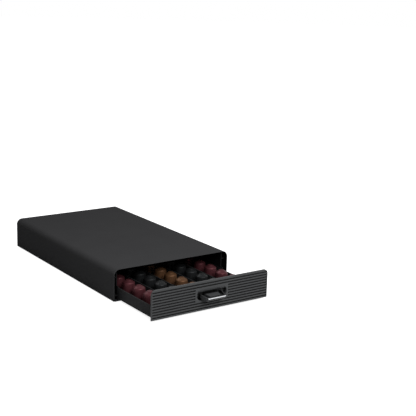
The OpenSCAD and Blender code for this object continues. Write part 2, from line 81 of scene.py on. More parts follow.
# Places that follow from them
MOUTH_Y = SLEEVE_LOW.y
FACE_Y = FRONT_LOW.y
TIP_Y = TRIM_LOW.y
PEG_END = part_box("pull_grip")[1].y
RIM = LANE_HIGH.x - LANE_LOW.x
LANE_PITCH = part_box("capsules_lane_2")[0].x - LANE_LOW.x
ROW_Y = LANE_LOW.y + RIM / 2
ROW_PITCH = (LANE_HIGH.y - LANE_LOW.y - RIM) / (CAD_ROWS - 1)
FRONT_SCREW_Z = (FRONT_SCREW_LOW.z + FRONT_SCREW_HIGH.z) / 2
SPIGOT_END = FRONT_SCREW_HIGH.y - HEAD_HEIGHT
SPIGOT_X = [side * LANE_PITCH * k for side in (-1, 1) for k in (1, 2)]

# Mesh work: points nearer than SEAM become one, faces that differ by less than FLAT are one flat face, and
# edges sharper than SHARP stay sharp in the shading
SEAM = 1e-6
FLAT = math.radians(0.5)
SHARP = math.radians(38)
FRONT_STEPS = 10  # facets in each of the front's rounded corners

# Case and front screws: width and depth of the cross slot
SLOT_WIDTH, SLOT_DEPTH = 0.7 * MM, 0.6 * MM

# Stage in metres. Lamps: name, setting of its power, place, aim, width and height
LAMPS = (
    ("Key lamp", "key", (0.12, -2.4, 2.0), (0.0, -0.1, 0.03), 2.2, 1.4),
    ("Rear lamp", "rear", (0.0, 1.1, 1.9), (0.0, 0.1, 0.03), 1.6, 1.0),
)
FLOOR_RADII = (0.3, 1.5, 6.0, 14.0)
GLOW_START, GLOW_END = 0.4, 1.6  # between these distances the floor's glow rises to white
CAMERA_AT = (-0.91237, -1.53706, 0.56356)
CAMERA_TURN = (35.363, 13.481, 1.531)  # heading, pitch down and roll in degrees
SENSOR = 36  # mm


# ---- Sizes and colours that a user can change ----


def length(name, description, millimetres):
    """A length property with its default in millimetres."""
    return bpy.props.FloatProperty(
        name=name, description=description, default=millimetres * MM,
        unit="LENGTH", subtype="DISTANCE", precision=5,
    )


def number(name, description, default, low, high):
    """A whole number property with its limits."""
    return bpy.props.IntProperty(name=name, description=description, default=default, min=low, max=high)


def share_of_one(name, description, default):
    """A property between nothing and all."""
    return bpy.props.FloatProperty(
        name=name, description=description, default=default, subtype="FACTOR", min=0.0, max=1.0
    )


def power(name, description, watts):
    """A lamp's power in watts."""
    return bpy.props.FloatProperty(name=name, description=description, default=watts, unit="POWER")


def colour(name, description, code):
    """A colour property with its default as an sRGB hex code."""
    return bpy.props.FloatVectorProperty(
        name=name, description=description, default=srgb(code)[:3], size=3, subtype="COLOR", min=0.0, max=1.0
    )


def group(kind, name, description):
    """A property that holds a group of others."""
    return bpy.props.PointerProperty(type=kind, name=name, description=description)


def srgb(code):
    """Linear RGBA of an sRGB hex code."""
    parts = [int(code[i : i + 2], 16) / 255 for i in (1, 3, 5)]
    return [c / 12.92 if c <= 0.04045 else ((c + 0.055) / 1.055) ** 2.4 for c in parts] + [1.0]


class SleeveSizes(bpy.types.PropertyGroup):
    wall: length("Wall", "Thickness of the sleeve's top, sides and back", 2.5)
    corner: length("Long edge radius", "Outer radius of the two long top edges", 12)
    edge: length("Edge rounding", "Rounding of the sleeve's rims", 0.7)
    # Past this reach over the mouth's rim the sleeve is painted near-black: painted shade.
    coat: length("Coat on the rim", "How far the matt coat reaches over the mouth's rim", 0.75)
    rim: length("Mouth rim", "Width of the flat rim round the mouth", 1.5)
    flare: length("Mouth flare", "Depth of the sloping face between the rim and the inner wall", 1.8)
    rib_height: length("Ceiling rib height", "How far the stiffening ribs stand down", 1.8)
    rib_width: length("Ceiling rib width", "Thickness of the stiffening ribs", 1.6)
    rib_start: length("Ceiling rib setback", "Distance from the mouth to the ribs", 14)
    ribs: number("Ceiling ribs", "Ribs each way", 5, 2, 9)
    boss: length("Boss diameter", "Diameter of the screw bosses", 5.6)
    boss_end: length("Boss setback", "Distance from the ends to the first and last boss", 20)


class FrontSizes(bpy.types.PropertyGroup):
    thickness: length("Thickness", "Thickness of the front panel", 3.2)
    corner: length("Corner radius", "Radius of the two top corners", 8.5)
    edge: length("Edge rounding", "Rounding of the panel's outer edge", 0.55)
    grooves: number("Grooves", "Grooves between the ribs", 10, 4, 20)
    groove_pitch: length("Groove pitch", "Distance between the middles of two grooves", 5)
    groove_drop: length("Groove drop", "Distance from the top edge down to the highest groove's middle", 5)
    groove_width: length("Groove width", "Width of a groove at the face", 2.4)
    groove_floor: length("Groove floor", "Width of a groove at its floor", 1.6)
    groove_depth: length("Groove depth", "Depth of a groove", 1.5)
    groove_end: length("Groove end", "Distance from a groove's end to the side edge", 1.9)
    pad_width: length("Pad width", "Width of the smooth pad round the finger recess", 71)
    spigot: length("Spigot diameter", "Diameter of the screw spigots", 5.6)


class PullSizes(bpy.types.PropertyGroup):
    recess_width: length("Recess width", "Width of the finger recess at the face", 64)
    recess_depth: length("Recess depth", "Depth of the finger recess", 7.5)
    recess_lift: length("Recess lift", "Height of the recess's floor above the sleeve's lower edge", 23)
    recess_height: length("Recess height", "Height of the recess at the face", 19.8)
    low_corner: length("Lower corner radius", "Radius of the recess's two lower corners", 8.5)
    top_corner: length("Upper corner radius", "Radius of the recess's two upper corners", 9.5)
    lip_over: length("Outline above the lip", "How far the corners' outline runs on above the lip", 0.2)
    lip_shift: length("Lip shift", "How far the round lip's centre lies behind the back and above the top", 1)
    recess_wall: length("Recess wall", "Wall behind the recess", 1.4)
    roll: length("Recess edge", "Rounding of the recess's edge", 0.4)
    root_width: length("Grip root width", "Width of the grip where it leaves the recess", 46)
    tip_width: length("Grip tip width", "Width of the grip at its front edge", 38.6)
    tip_height: length("Grip tip height", "Height of the grip at its front edge", 6.6)
    root_height: length("Grip root height", "Height of the grip at its root", 10)
    fall: length("Grip fall", "How much lower the tip's top lies than the root's", 2.5)
    rim: length("Grip rim", "Width of the grip's edge beside the channel", 1.2)
    front_rim: length("Grip front rim", "Width of the grip's edge in front of the channel", 1.8)
    channel_width: length("Channel width", "Width of the channel along the grip's sides", 7.3)
    front_channel: length("Front channel width", "Width of the channel behind the grip's front edge", 2.4)
    channel_depth: length("Channel depth", "Depth of the channel in the grip's top", 4.2)
    undercut: length("Undercut", "How far the grip's front face slopes back below the strip", 3)
    bevel: length("Grip root bevel", "Bevel of the grip's two rear corners", 1.5)
    peg: length("Peg diameter", "Diameter of the pegs behind the grip", 3.2)
    peg_pitch: length("Peg distance", "Distance between the two pegs", 26)
    trim_depth: length("Trim depth", "Thickness of the bright strip", 1.2)


class CapsuleSizes(bpy.types.PropertyGroup):
    rows: number("Rows", "Capsules in a lane", 10, 1, 20)
    rim: length("Rim diameter", "Diameter of the rim that the capsule stands on", 37.1)
    height: length("Height", "Height of the capsule", 28.6)
    around: number("Facets", "Faces round a capsule", 56, 16, 96)


class Finishes(bpy.types.PropertyGroup):
    case: colour("Case", "Colour of the matt coat on the sleeve", "#39393a")
    # Painted shade: this near-black colour is painted over the sleeve's inside and most of its mouth rim, to
    # stand in for the shade there.
    inside: colour("Case inside", "Colour of the bare plastic inside the sleeve", "#0b0b0b")
    front: colour("Front", "Colour of the ribbed front and the grip", "#3c3d3e")
    tray: colour("Tray", "Colour of the tray and the dividers", "#2c2c2d")
    rail: colour("Rails", "Colour of the guide rails", "#131314")
    base: colour("Base", "Colour of the base plate", "#27272a")
    rubber: colour("Rubber", "Colour of the feet", "#1c1c1c")
    steel: colour("Steel", "Colour of the zinc plate on the screws", "#a9abad")
    chrome: colour("Chrome", "Colour of the bright strip", "#c9cbcd")
    burgundy: colour("Burgundy capsule", "Colour of the outer lanes", "#432226")
    charcoal: colour("Charcoal capsule", "Colour of the second and fourth lane", "#18191a")
    bronze: colour("Bronze capsule", "Colour of the middle lane", "#4e3624")
    foil: colour("Foil", "Colour of the capsules' foils", "#c8c9cb")


class StageSettings(bpy.types.PropertyGroup):
    lens: bpy.props.FloatProperty(
        name="Lens", description="Focal length of the camera", default=79.79, unit="CAMERA"
    )
    sky: share_of_one("Sky", "Strength of the even light from all round", 0.06)
    key: power("Key lamp", "Power of the lamp in front and above", 116)
    rear: power("Rear lamp", "Power of the lamp behind and above", 17)
    floor: share_of_one("Floor", "Reflectance of the pale floor", 0.58)
    glow: share_of_one("Floor glow", "What the eye adds to the lit floor", 0.86)


class DrawerSettings(bpy.types.PropertyGroup):
    sleeve: group(SleeveSizes, "Sleeve", "Sizes of the sleeve")
    front: group(FrontSizes, "Front", "Sizes of the ribbed front")
    pull: group(PullSizes, "Pull", "Sizes of the recess and the grip")
    capsule: group(CapsuleSizes, "Capsules", "Sizes of the capsules")
    finish: group(Finishes, "Finishes", "Colours of the finishes")
    stage: group(StageSettings, "Stage", "Camera, lamps and floor")


# ---- Nodes ----


def node(tree, kind, inputs=None, **settings):
    """Adds one node: settings are its own properties, inputs are values or the sockets that feed it."""
    made = tree.nodes.new(kind)
    for name, value in settings.items():
        setattr(made, name, value)
    for key, value in (inputs or {}).items():
        if isinstance(value, bpy.types.NodeSocket):
            tree.links.new(value, made.inputs[key])
        else:
            made.inputs[key].default_value = value
    return made


def calc(tree, operation, *values):
    """The result of a maths node."""
    return node(tree, "ShaderNodeMath", dict(enumerate(values)), operation=operation).outputs[0]


def split(tree, vector):
    """The X, Y and Z sockets of a vector."""
    return node(tree, "ShaderNodeSeparateXYZ", {0: vector}).outputs


def ramp(tree, value, low, high, start, end):
    """A value between low and high, carried over to between start and end."""
    span = {"From Min": low, "From Max": high, "To Min": start, "To Max": end}
    return node(tree, "ShaderNodeMapRange", {"Value": value, **span}).outputs["Result"]


def noise(tree, at, size, detail, roughness):
    """Cloudy noise with features of this many millimetres."""
    inputs = {"Vector": at, "Scale": 1 / (size * MM), "Detail": detail, "Roughness": roughness}
    return node(tree, "ShaderNodeTexNoise", inputs).outputs["Fac"]


def mixed(tree, share, first, second):
    """A colour that goes from the first to the second with the share."""
    return node(tree, "ShaderNodeMix", {0: share, 6: first, 7: second}, data_type="RGBA").outputs[2]


def shaded(tree, colour, share):
    """A colour made darker or lighter by a factor."""
    return node(tree, "ShaderNodeVectorMath", {0: colour, 3: share}, operation="SCALE").outputs["Vector"]


def bumped(tree, height, relief, strength):
    """A normal for a relief of this many millimetres."""
    inputs = {"Height": height, "Distance": relief * MM, "Strength": strength}
    return node(tree, "ShaderNodeBump", inputs).outputs["Normal"]


def seen(tree):
    """1 for rays that the eye sees straight, in a reflection or through glass, 0 for light on the object."""
    path = node(tree, "ShaderNodeLightPath").outputs
    direct = calc(tree, "MAXIMUM", path["Is Camera Ray"], path["Is Glossy Ray"])
    return calc(tree, "MAXIMUM", direct, path["Is Transmission Ray"])


# ---- Finishes ----


def new_material(name):
    """An empty node material and its tree."""
    material = bpy.data.materials.new(name)
    material.use_nodes = True
    material.node_tree.nodes.clear()
    return material, material.node_tree


def coat_with(material, inputs):
    """Gives the material its shader with these inputs, and returns the material."""
    shader = node(material.node_tree, "ShaderNodeBsdfPrincipled", inputs)
    node(material.node_tree, "ShaderNodeOutputMaterial", {"Surface": shader.outputs["BSDF"]})
    return material


def place(tree, stretch=(1, 1, 1)):
    """Object coordinates in metres, stretched where a pattern has a direction."""
    where = node(tree, "ShaderNodeTexCoord").outputs["Object"]
    return node(tree, "ShaderNodeMapping", {"Vector": where, "Scale": stretch}).outputs["Vector"]


def outside_of_painted_shade(tree):
    """1 on the sleeve's outer faces and edges, 0 inside it, where the colour gives way to painted shade: the
    outer colour ends on the rim of the mouth.
    """
    size = bpy.context.scene.capsule_drawer.sleeve
    at = split(tree, node(tree, "ShaderNodeTexCoord").outputs["Object"])
    squares = []
    for along, end in ((calc(tree, "ABSOLUTE", at["X"]), SLEEVE_HIGH.x), (at["Z"], SLEEVE_HIGH.z)):
        past = calc(tree, "MAXIMUM", calc(tree, "SUBTRACT", along, end - size.corner), 0.0)
        squares.append(calc(tree, "POWER", past, 2.0))
    from_arc = calc(tree, "POWER", calc(tree, "ADD", *squares), 0.5)
    outer = calc(tree, "GREATER_THAN", from_arc, size.corner - size.coat)
    rear = calc(tree, "GREATER_THAN", at["Y"], SLEEVE_HIGH.y - size.wall / 2)
    return calc(tree, "MAXIMUM", outer, rear)


def moulded_plastic(name, colour, grain, roughness, relief, specular, painted_shade_reach=0.0, coated=False):
    """Injection-moulded plastic from a spark-eroded tool: an even, dense grain of rounded pits that breaks
    up the gloss, a slow cloudiness where the melt cooled unevenly, and slightly smoother high spots.
    grain is the distance between two pits and relief their depth, both in mm and drawn coarser than on the
    tool. The reach for painted shade is how far apart a groove's walls may stand for it to be painted deep
    black: ambient occlusion darkens the colour in grooves and hollows, painted shade in the creases. A piece
    with painted shade inside has its colour outside only, and is painted near-black inside the sleeve to
    stand in for the shade there."""
    material, tree = new_material(name)
    at = place(tree)
    pits = noise(tree, at, size=grain, detail=3, roughness=0.55)
    melt = noise(tree, at, size=55, detail=2, roughness=0.5)
    handled = noise(tree, at, size=18, detail=4, roughness=0.6)
    cloud = 0.06
    low, high = ([c * share for c in colour] + [1] for share in (1 - cloud, 1 + cloud))
    paint = shaded(tree, mixed(tree, melt, low, high), ramp(tree, pits, 0.35, 0.65, 0.94, 1.06))
    # Painted shade: inside the sleeve the colour gives way to the near-black inside colour.
    if coated:
        painted_shade = [*bpy.context.scene.capsule_drawer.finish.inside, 1]
        paint = mixed(tree, outside_of_painted_shade(tree), painted_shade, paint)
    # Painted shade: ambient occlusion darkens the colour to near black in grooves and hollows narrower than
    # the reach.
    if painted_shade_reach:
        painted_crease_shade = node(tree, "ShaderNodeAmbientOcclusion", {"Distance": painted_shade_reach}, samples=8)
        paint = shaded(tree, paint, ramp(tree, painted_crease_shade.outputs["AO"], 0.6, 0.97, 0.02, 1.0))
    return coat_with(material, {
        "Base Color": paint,
        "Roughness": ramp(tree, handled, 0.3, 0.7, roughness - 0.05, roughness + 0.05),
        "Normal": bumped(tree, pits, relief, 1.0), "IOR": 1.5, "Specular IOR Level": specular,
    })


def anodised_aluminium(name, colour):
    """Deep-drawn aluminium, dyed and anodised: a satin metal with fine upright drawing lines, a faint
    cloud in the dye and a slightly different tone from one piece to the next."""
    material, tree = new_material(name)
    # drawing lines run up the body and are drawn twice as coarse as real ones
    lines = noise(tree, place(tree, (1, 1, 0.06)), size=0.9, detail=2, roughness=0.5)
    dye = noise(tree, place(tree), size=14, detail=3, roughness=0.55)
    piece = node(tree, "ShaderNodeNewGeometry").outputs["Random Per Island"]
    cloud, batch = ramp(tree, dye, 0.3, 0.7, 0.93, 1.07), ramp(tree, piece, 0.0, 1.0, 0.96, 1.04)
    tone = calc(tree, "MULTIPLY", cloud, batch)
    return coat_with(material, {
        "Base Color": shaded(tree, list(colour), tone), "Metallic": 0.4,
        "Roughness": ramp(tree, lines, 0.3, 0.7, 0.36, 0.5),
        "Normal": bumped(tree, lines, 0.02, 0.6), "Specular IOR Level": 0.1,
    })


def plated_metal(name, colour, roughness, wear):
    """Bright plate over a smooth base: chrome or zinc, with faint wiping marks along its length
    and a thin haze where fingers touch it."""
    material, tree = new_material(name)
    marks = noise(tree, place(tree, (0.08, 1, 1)), size=0.5, detail=2, roughness=0.5)
    haze = noise(tree, place(tree), size=7, detail=3, roughness=0.5)
    return coat_with(material, {
        "Base Color": shaded(tree, list(colour), ramp(tree, haze, 0.3, 0.7, 0.97, 1.0)), "Metallic": 1.0,
        "Roughness": ramp(tree, haze, 0.35, 0.7, roughness, roughness + wear),
        "Normal": bumped(tree, marks, 0.004, 0.5),
    })


def moulded_rubber(name, colour):
    """Solid rubber foot: dull, with a fine dusty bloom and shallow pores."""
    material, tree = new_material(name)
    at = place(tree)
    pores = node(tree, "ShaderNodeTexVoronoi", {"Vector": at, "Scale": 1 / (0.9 * MM)}).outputs["Distance"]
    bloom = noise(tree, at, size=5, detail=4, roughness=0.6)
    dust = [c * 1.8 for c in colour] + [1]
    return coat_with(material, {
        "Base Color": mixed(tree, bloom, [*colour, 1], dust), "Roughness": 0.85,
        "Normal": bumped(tree, pores, 0.05, 0.5), "Specular IOR Level": 0.15,
    })


# The record's slots: maker, name of the material, its colour's setting and the maker's other values
FINISHES = {
    # The sleeve is painted near-black inside: painted shade.
    "case_plastic": (moulded_plastic, "coated_ABS_matt_grain", "case",
                     dict(grain=0.8, roughness=0.7, relief=0.03, specular=0.0, coated=True)),
    # The front's grooves, recess and grip channel are darkened by ambient occlusion within 6 mm: painted
    # shade in the creases.
    "front_plastic": (moulded_plastic, "moulded_ABS_satin", "front",
                      dict(grain=0.7, roughness=0.5, relief=0.02, specular=0.1, painted_shade_reach=6 * MM)),
    "tray_plastic": (moulded_plastic, "moulded_polypropylene_satin", "tray",
                     dict(grain=0.9, roughness=0.6, relief=0.02, specular=0.02)),
    "rail_plastic": (moulded_plastic, "moulded_acetal_smooth", "rail",
                     dict(grain=1.1, roughness=0.5, relief=0.01, specular=0.04)),
    "base_plastic": (moulded_plastic, "moulded_ABS_plain", "base",
                     dict(grain=0.9, roughness=0.6, relief=0.03, specular=0.06)),
    "foot_rubber": (moulded_rubber, "moulded_rubber", "rubber", {}),
    "screw_steel": (plated_metal, "zinc_plated_steel", "steel", dict(roughness=0.32, wear=0.15)),
    "trim_chrome": (plated_metal, "chrome_plate", "chrome", dict(roughness=0.12, wear=0.06)),
    "capsule_burgundy": (anodised_aluminium, "anodised_aluminium_burgundy", "burgundy", {}),
    "capsule_charcoal": (anodised_aluminium, "anodised_aluminium_charcoal", "charcoal", {}),
    "capsule_bronze": (anodised_aluminium, "anodised_aluminium_bronze", "bronze", {}),
    "foil_aluminium": (plated_metal, "rolled_aluminium_foil", "foil", dict(roughness=0.35, wear=0.1)),
}
MATERIALS = {}


def finish_of(slot):
    """The material of one of the record's slots, made the first time it is asked for."""
    if slot not in MATERIALS:
        maker, name, tone, values = FINISHES[slot]
        MATERIALS[slot] = maker(name, getattr(bpy.context.scene.capsule_drawer.finish, tone), **values)
    return MATERIALS[slot]


# ---- Meshes ----


def linked(name, data):
    """A new object with this data, put into the scene."""
    made = bpy.data.objects.new(name, data)
    bpy.context.scene.collection.objects.link(made)
    return made


def mesh_object(name, verts, faces=(), edges=()):
    """A new object at the origin with this mesh."""
    mesh = bpy.data.meshes.new(name)
    mesh.from_pydata([tuple(v) for v in verts], list(edges), [tuple(f) for f in faces])
    mesh.update()
    return linked(name, mesh)


def object_of(work, name):
    """A new object with the bmesh as its mesh; the bmesh is freed."""
    mesh = bpy.data.meshes.new(name)
    work.to_mesh(mesh)
    work.free()
    return linked(name, mesh)


def turned_outwards(mesh, seam=SEAM):
    """Turns the mesh's faces outwards, after its points nearer than the seam, if any, have become one."""
    work = bmesh.new()
    work.from_mesh(mesh)
    if seam:
        bmesh.ops.remove_doubles(work, verts=work.verts, dist=seam)
    bmesh.ops.recalc_face_normals(work, faces=work.faces)
    work.to_mesh(mesh)
    work.free()


def smoothed(mesh):
    """Shades the mesh smooth, but for its sharp edges."""
    mesh.shade_smooth()
    mesh.set_sharp_from_angle(angle=SHARP)


def plain_mesh(obj, settle=True):
    """Turns the object's modifiers into plain mesh; settle also closes its seams."""
    bpy.context.view_layer.update()
    depsgraph = bpy.context.evaluated_depsgraph_get()
    mesh = bpy.data.meshes.new_from_object(obj.evaluated_get(depsgraph), depsgraph=depsgraph)
    obj.modifiers.clear()
    old = obj.data
    obj.data = mesh
    bpy.data.meshes.remove(old)
    mesh.name = obj.name
    if settle:
        turned_outwards(mesh)
    smoothed(mesh)
    return obj


def rounded(obj, width, segments=2, angle=35):
    """Rounds the object's sharp edges with a bevel and keeps its flat faces flat."""
    bevel = obj.modifiers.new("Rounding", "BEVEL")
    bevel.width = width
    bevel.segments = segments
    bevel.limit_method = "ANGLE"
    bevel.angle_limit = math.radians(angle)
    bevel.use_clamp_overlap = True
    bevel.miter_outer = "MITER_ARC"
    flat = obj.modifiers.new("Flat faces", "WEIGHTED_NORMAL")
    flat.keep_sharp = True
    flat.weight = 80
    return obj


def hand_over(obj, slot, body, cad_node):
    """Gives a finished piece its material and its body, and hides the CAD node that it stands for."""
    obj.data.materials.clear()
    obj.data.materials.append(finish_of(slot))
    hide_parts(cad_node)
    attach(obj, body)


def joined(name, parts):
    """One mesh object out of several; the parts are removed."""
    work = bmesh.new()
    for part in parts:
        work.from_mesh(part.data)
    for part in parts:
        old = part.data
        bpy.data.objects.remove(part)
        bpy.data.meshes.remove(old)
    made = object_of(work, name)
    smoothed(made.data)
    return made


def softened(node_name, name, width, trim=None):
    """A copy of a CAD node with its triangles merged into whole faces and its edges rounded.
    trim may work on the merged mesh before its edges are rounded."""
    work = bmesh.new()
    work.from_mesh(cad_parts[node_name].data)
    bmesh.ops.remove_doubles(work, verts=work.verts, dist=2 * SEAM)
    bmesh.ops.dissolve_limit(
        work, angle_limit=FLAT, use_dissolve_boundaries=False, verts=work.verts, edges=work.edges
    )
    if trim:
        trim(work)
    made = object_of(work, name)
    made.data.shade_smooth()
    return plain_mesh(rounded(made, width), settle=False)


# ---- Repeating forms ----


def geometry_tree(name, inputs):
    """A tree of geometry nodes with these inputs, and the sockets that give them."""
    tree = bpy.data.node_groups.new(name, "GeometryNodeTree")
    for label, kind in {"Geometry": "Geometry", **inputs, "Finish": "Material"}.items():
        tree.interface.new_socket(label, in_out="INPUT", socket_type="NodeSocket" + kind)
    tree.interface.new_socket("Geometry", in_out="OUTPUT", socket_type="NodeSocketGeometry")
    return tree, node(tree, "NodeGroupInput").outputs


def closed_tree(tree, given, geometry):
    """Ends the tree with this geometry, made real and in its finish."""
    solid = node(tree, "GeometryNodeRealizeInstances", {"Geometry": geometry}).outputs[0]
    dressed = node(tree, "GeometryNodeSetMaterial", {"Geometry": solid, "Material": given["Finish"]})
    node(tree, "NodeGroupOutput", {0: dressed.outputs[0]})
    return tree


def turned_tree(name, profile, cross=None):
    """Geometry nodes that turn a profile of (radius, height) points about Z, cut a cross slot if one is given
    by its length and the height of its middle, and set the result on every vertex of the object."""
    inputs = {"Width": "Float", "Height": "Float", "Facets": "Int", "Turn": "Vector"}
    tree, given = geometry_tree(name, inputs)
    # A grid of profile points by facets is rolled up: X counts the profile's points, Y the facets
    count = len(profile)
    grid = node(tree, "GeometryNodeMeshGrid", {
        "Size X": float(count - 1), "Size Y": given["Facets"],
        "Vertices X": count, "Vertices Y": calc(tree, "ADD", given["Facets"], 1.0),
    })
    at = split(tree, node(tree, "GeometryNodeInputPosition").outputs[0])
    step = calc(tree, "ADD", at["X"], (count - 1) / 2)
    points = node(tree, "GeometryNodeIndexSwitch", data_type="VECTOR")
    while len(points.index_switch_items) < count:
        points.index_switch_items.new()
    for i, (radius, height) in enumerate(profile):
        points.inputs[i + 1].default_value = (radius, 0, height)
    which = node(tree, "FunctionNodeFloatToInt", {0: step}, rounding_mode="ROUND")
    tree.links.new(which.outputs[0], points.inputs["Index"])
    point = split(tree, points.outputs[0])
    turn = calc(tree, "MULTIPLY", calc(tree, "DIVIDE", at["Y"], given["Facets"]), 2 * math.pi)
    radius = calc(tree, "MULTIPLY", point["X"], given["Width"])
    rolled = node(tree, "ShaderNodeCombineXYZ", {
        0: calc(tree, "MULTIPLY", radius, calc(tree, "COSINE", turn)),
        1: calc(tree, "MULTIPLY", radius, calc(tree, "SINE", turn)),
        2: calc(tree, "MULTIPLY", point["Z"], given["Height"]),
    })
    whole = node(
        tree, "GeometryNodeSetPosition", {"Geometry": grid.outputs["Mesh"], "Position": rolled.outputs[0]}
    ).outputs[0]
    whole = node(tree, "GeometryNodeMergeByDistance", {"Geometry": whole, "Distance": SEAM}).outputs[0]
    if cross:
        long, middle = cross
        for size in ((long, SLOT_WIDTH, 2 * SLOT_DEPTH), (SLOT_WIDTH, long, 2 * SLOT_DEPTH)):
            bar = node(tree, "GeometryNodeMeshCube", {"Size": size}).outputs[0]
            bar = node(tree, "GeometryNodeTransform", {"Geometry": bar, "Translation": (0, 0, middle)})
            whole = node(
                tree, "GeometryNodeMeshBoolean", {0: whole, 1: bar.outputs[0]},
                operation="DIFFERENCE", solver="EXACT",
            ).outputs[0]
    turned = node(tree, "FunctionNodeEulerToRotation", {0: given["Turn"]}).outputs[0]
    spread = node(tree, "GeometryNodeInstanceOnPoints", {
        "Points": given["Geometry"], "Instance": whole, "Rotation": turned,
    })
    return closed_tree(tree, given, spread.outputs[0])


def bar_tree(name):
    """Geometry nodes that sweep a four-cornered section with rounded corners along every edge of the object.
    The section's depth points against the normal, so a bar along X has it along Y."""
    tree, given = geometry_tree(
        name, {"Depth": "Float", "Root width": "Float", "Top width": "Float", "Rounding": "Float"}
    )
    root, top, corners = (given["Root width"], 0.0), (given["Top width"], given["Depth"]), {}
    for k, ((width, depth), side) in enumerate(((root, -0.5), (root, 0.5), (top, 0.5), (top, -0.5)), 1):
        at = node(tree, "ShaderNodeCombineXYZ", {0: depth, 1: calc(tree, "MULTIPLY", width, side)})
        corners[f"Point {k}"] = at.outputs[0]
    section = node(tree, "GeometryNodeCurvePrimitiveQuadrilateral", corners, mode="POINTS").outputs[0]
    section = node(
        tree, "GeometryNodeFilletCurve",
        {"Curve": section, "Count": 3, "Radius": given["Rounding"], "Limit Radius": True}, mode="POLY",
    ).outputs[0]
    path = node(tree, "GeometryNodeMeshToCurve", {"Mesh": given["Geometry"]}).outputs[0]
    path = node(tree, "GeometryNodeSetCurveNormal", {"Curve": path}, mode="Z_UP").outputs[0]
    bars = node(tree, "GeometryNodeCurveToMesh", {"Curve": path, "Profile Curve": section, "Fill Caps": True})
    return closed_tree(tree, given, bars.outputs[0])


def run_tree(obj, tree, values):
    """Runs a tree on the object with its inputs set by name and keeps the result as plain mesh."""
    modifier = obj.modifiers.new(tree.name, "NODES")
    modifier.node_group = tree
    for item in tree.interface.items_tree:
        if item.item_type == "SOCKET" and item.in_out == "INPUT" and item.name in values:
            modifier[item.identifier] = values[item.name]
    return plain_mesh(obj)


def turned_set(name, places, tree, wide, tall, facets, slot, turn=(0.0, 0.0, 0.0)):
    """The tree's turned form on each of these places, with its profile scaled to this width and height."""
    values = {"Width": wide, "Height": tall, "Facets": facets, "Turn": turn, "Finish": finish_of(slot)}
    return run_tree(mesh_object(name, places), tree, values)


def swept_bars(name, ends, depth, root, top, rounding, slot):
    """Bars swept from each odd point to the even one after it; root and top are the section's widths."""
    bars = mesh_object(name, ends, (), [(k, k + 1) for k in range(0, len(ends), 2)])
    values = {"Depth": depth, "Root width": root, "Top width": top, "Rounding": rounding}
    return run_tree(bars, bar_tree(name), {**values, "Finish": finish_of(slot)})


# ---- Outlines ----


def loft(rings):
    """Quads between closed rings of equal count, as faces over the rings' points laid end to end."""
    count = len(rings[0])
    faces = []
    for r in range(len(rings) - 1):
        for i in range(count):
            j = (i + 1) % count
            faces.append((r * count + i, r * count + j, (r + 1) * count + j, (r + 1) * count + i))
    return faces


def arch(half, low, high, radius, steps=14):
    """(x, z) points of an upright outline from its left foot over two rounded shoulders to its right foot."""
    points = [(-half, low)]
    for i in range(steps + 1):
        a = math.pi / 2 * i / steps
        points.append((-half + radius * (1 - math.cos(a)), high - radius * (1 - math.sin(a))))
    for i in range(steps + 1):
        a = math.pi / 2 * (1 - i / steps)
        points.append((half - radius * (1 - math.cos(a)), high - radius * (1 - math.sin(a))))
    points.append((half, low))
    return points


def flat_fill(work, loops):
    """Fills the flat area between closed loops of vertices with triangles."""
    edges = []
    for loop in loops:
        for a, b in zip(loop, loop[1:] + loop[:1]):
            edges.append(work.edges.get((a, b)) or work.edges.new((a, b)))
    bmesh.ops.triangle_fill(work, use_beauty=True, use_dissolve=False, edges=edges)


def quarter(steps):
    """Angles of a quarter turn in this many steps, both ends included."""
    return [math.pi / 2 * k / steps for k in range(steps + 1)]


# ---- Sleeve ----


def ceiling_ribs(size):
    """Stiffening ribs below the sleeve's ceiling, lengthwise and crosswise."""
    sunk = 0.6 * MM  # how far the ribs reach into the wall
    back = SLEEVE_HIGH.y - size.wall
    reach = LANE_PITCH * (LANES - 1) / 2
    middle = SLEEVE_HIGH.z - size.wall + (sunk - size.rib_height) / 2
    front_y, back_y = MOUTH_Y + size.rib_start, back - size.rib_start
    ends = []
    for i in range(size.ribs):
        share = i / (size.ribs - 1)
        x = (2 * share - 1) * reach - size.rib_width / 2
        y = front_y + share * (back_y - front_y) + size.rib_width / 2
        ends += [(x, front_y, middle), (x, back + sunk, middle), (-reach, y, middle), (reach, y, middle)]
    tall = size.rib_height + sunk
    return swept_bars("Ceiling ribs", ends, size.rib_width, tall, tall, 0.3 * MM, "case_plastic")


def case_screw_places(size):
    """(x, y) of the case screws and of the bosses that take them."""
    first, last = SLEEVE_LOW.y + size.boss_end, SLEEVE_HIGH.y - size.boss_end
    xs = (SCREW_LOW.x + SCREW_HEAD / 2, SCREW_HIGH.x - SCREW_HEAD / 2)
    return [(x, y) for x in xs for y in (first, (first + last) / 2, last)]


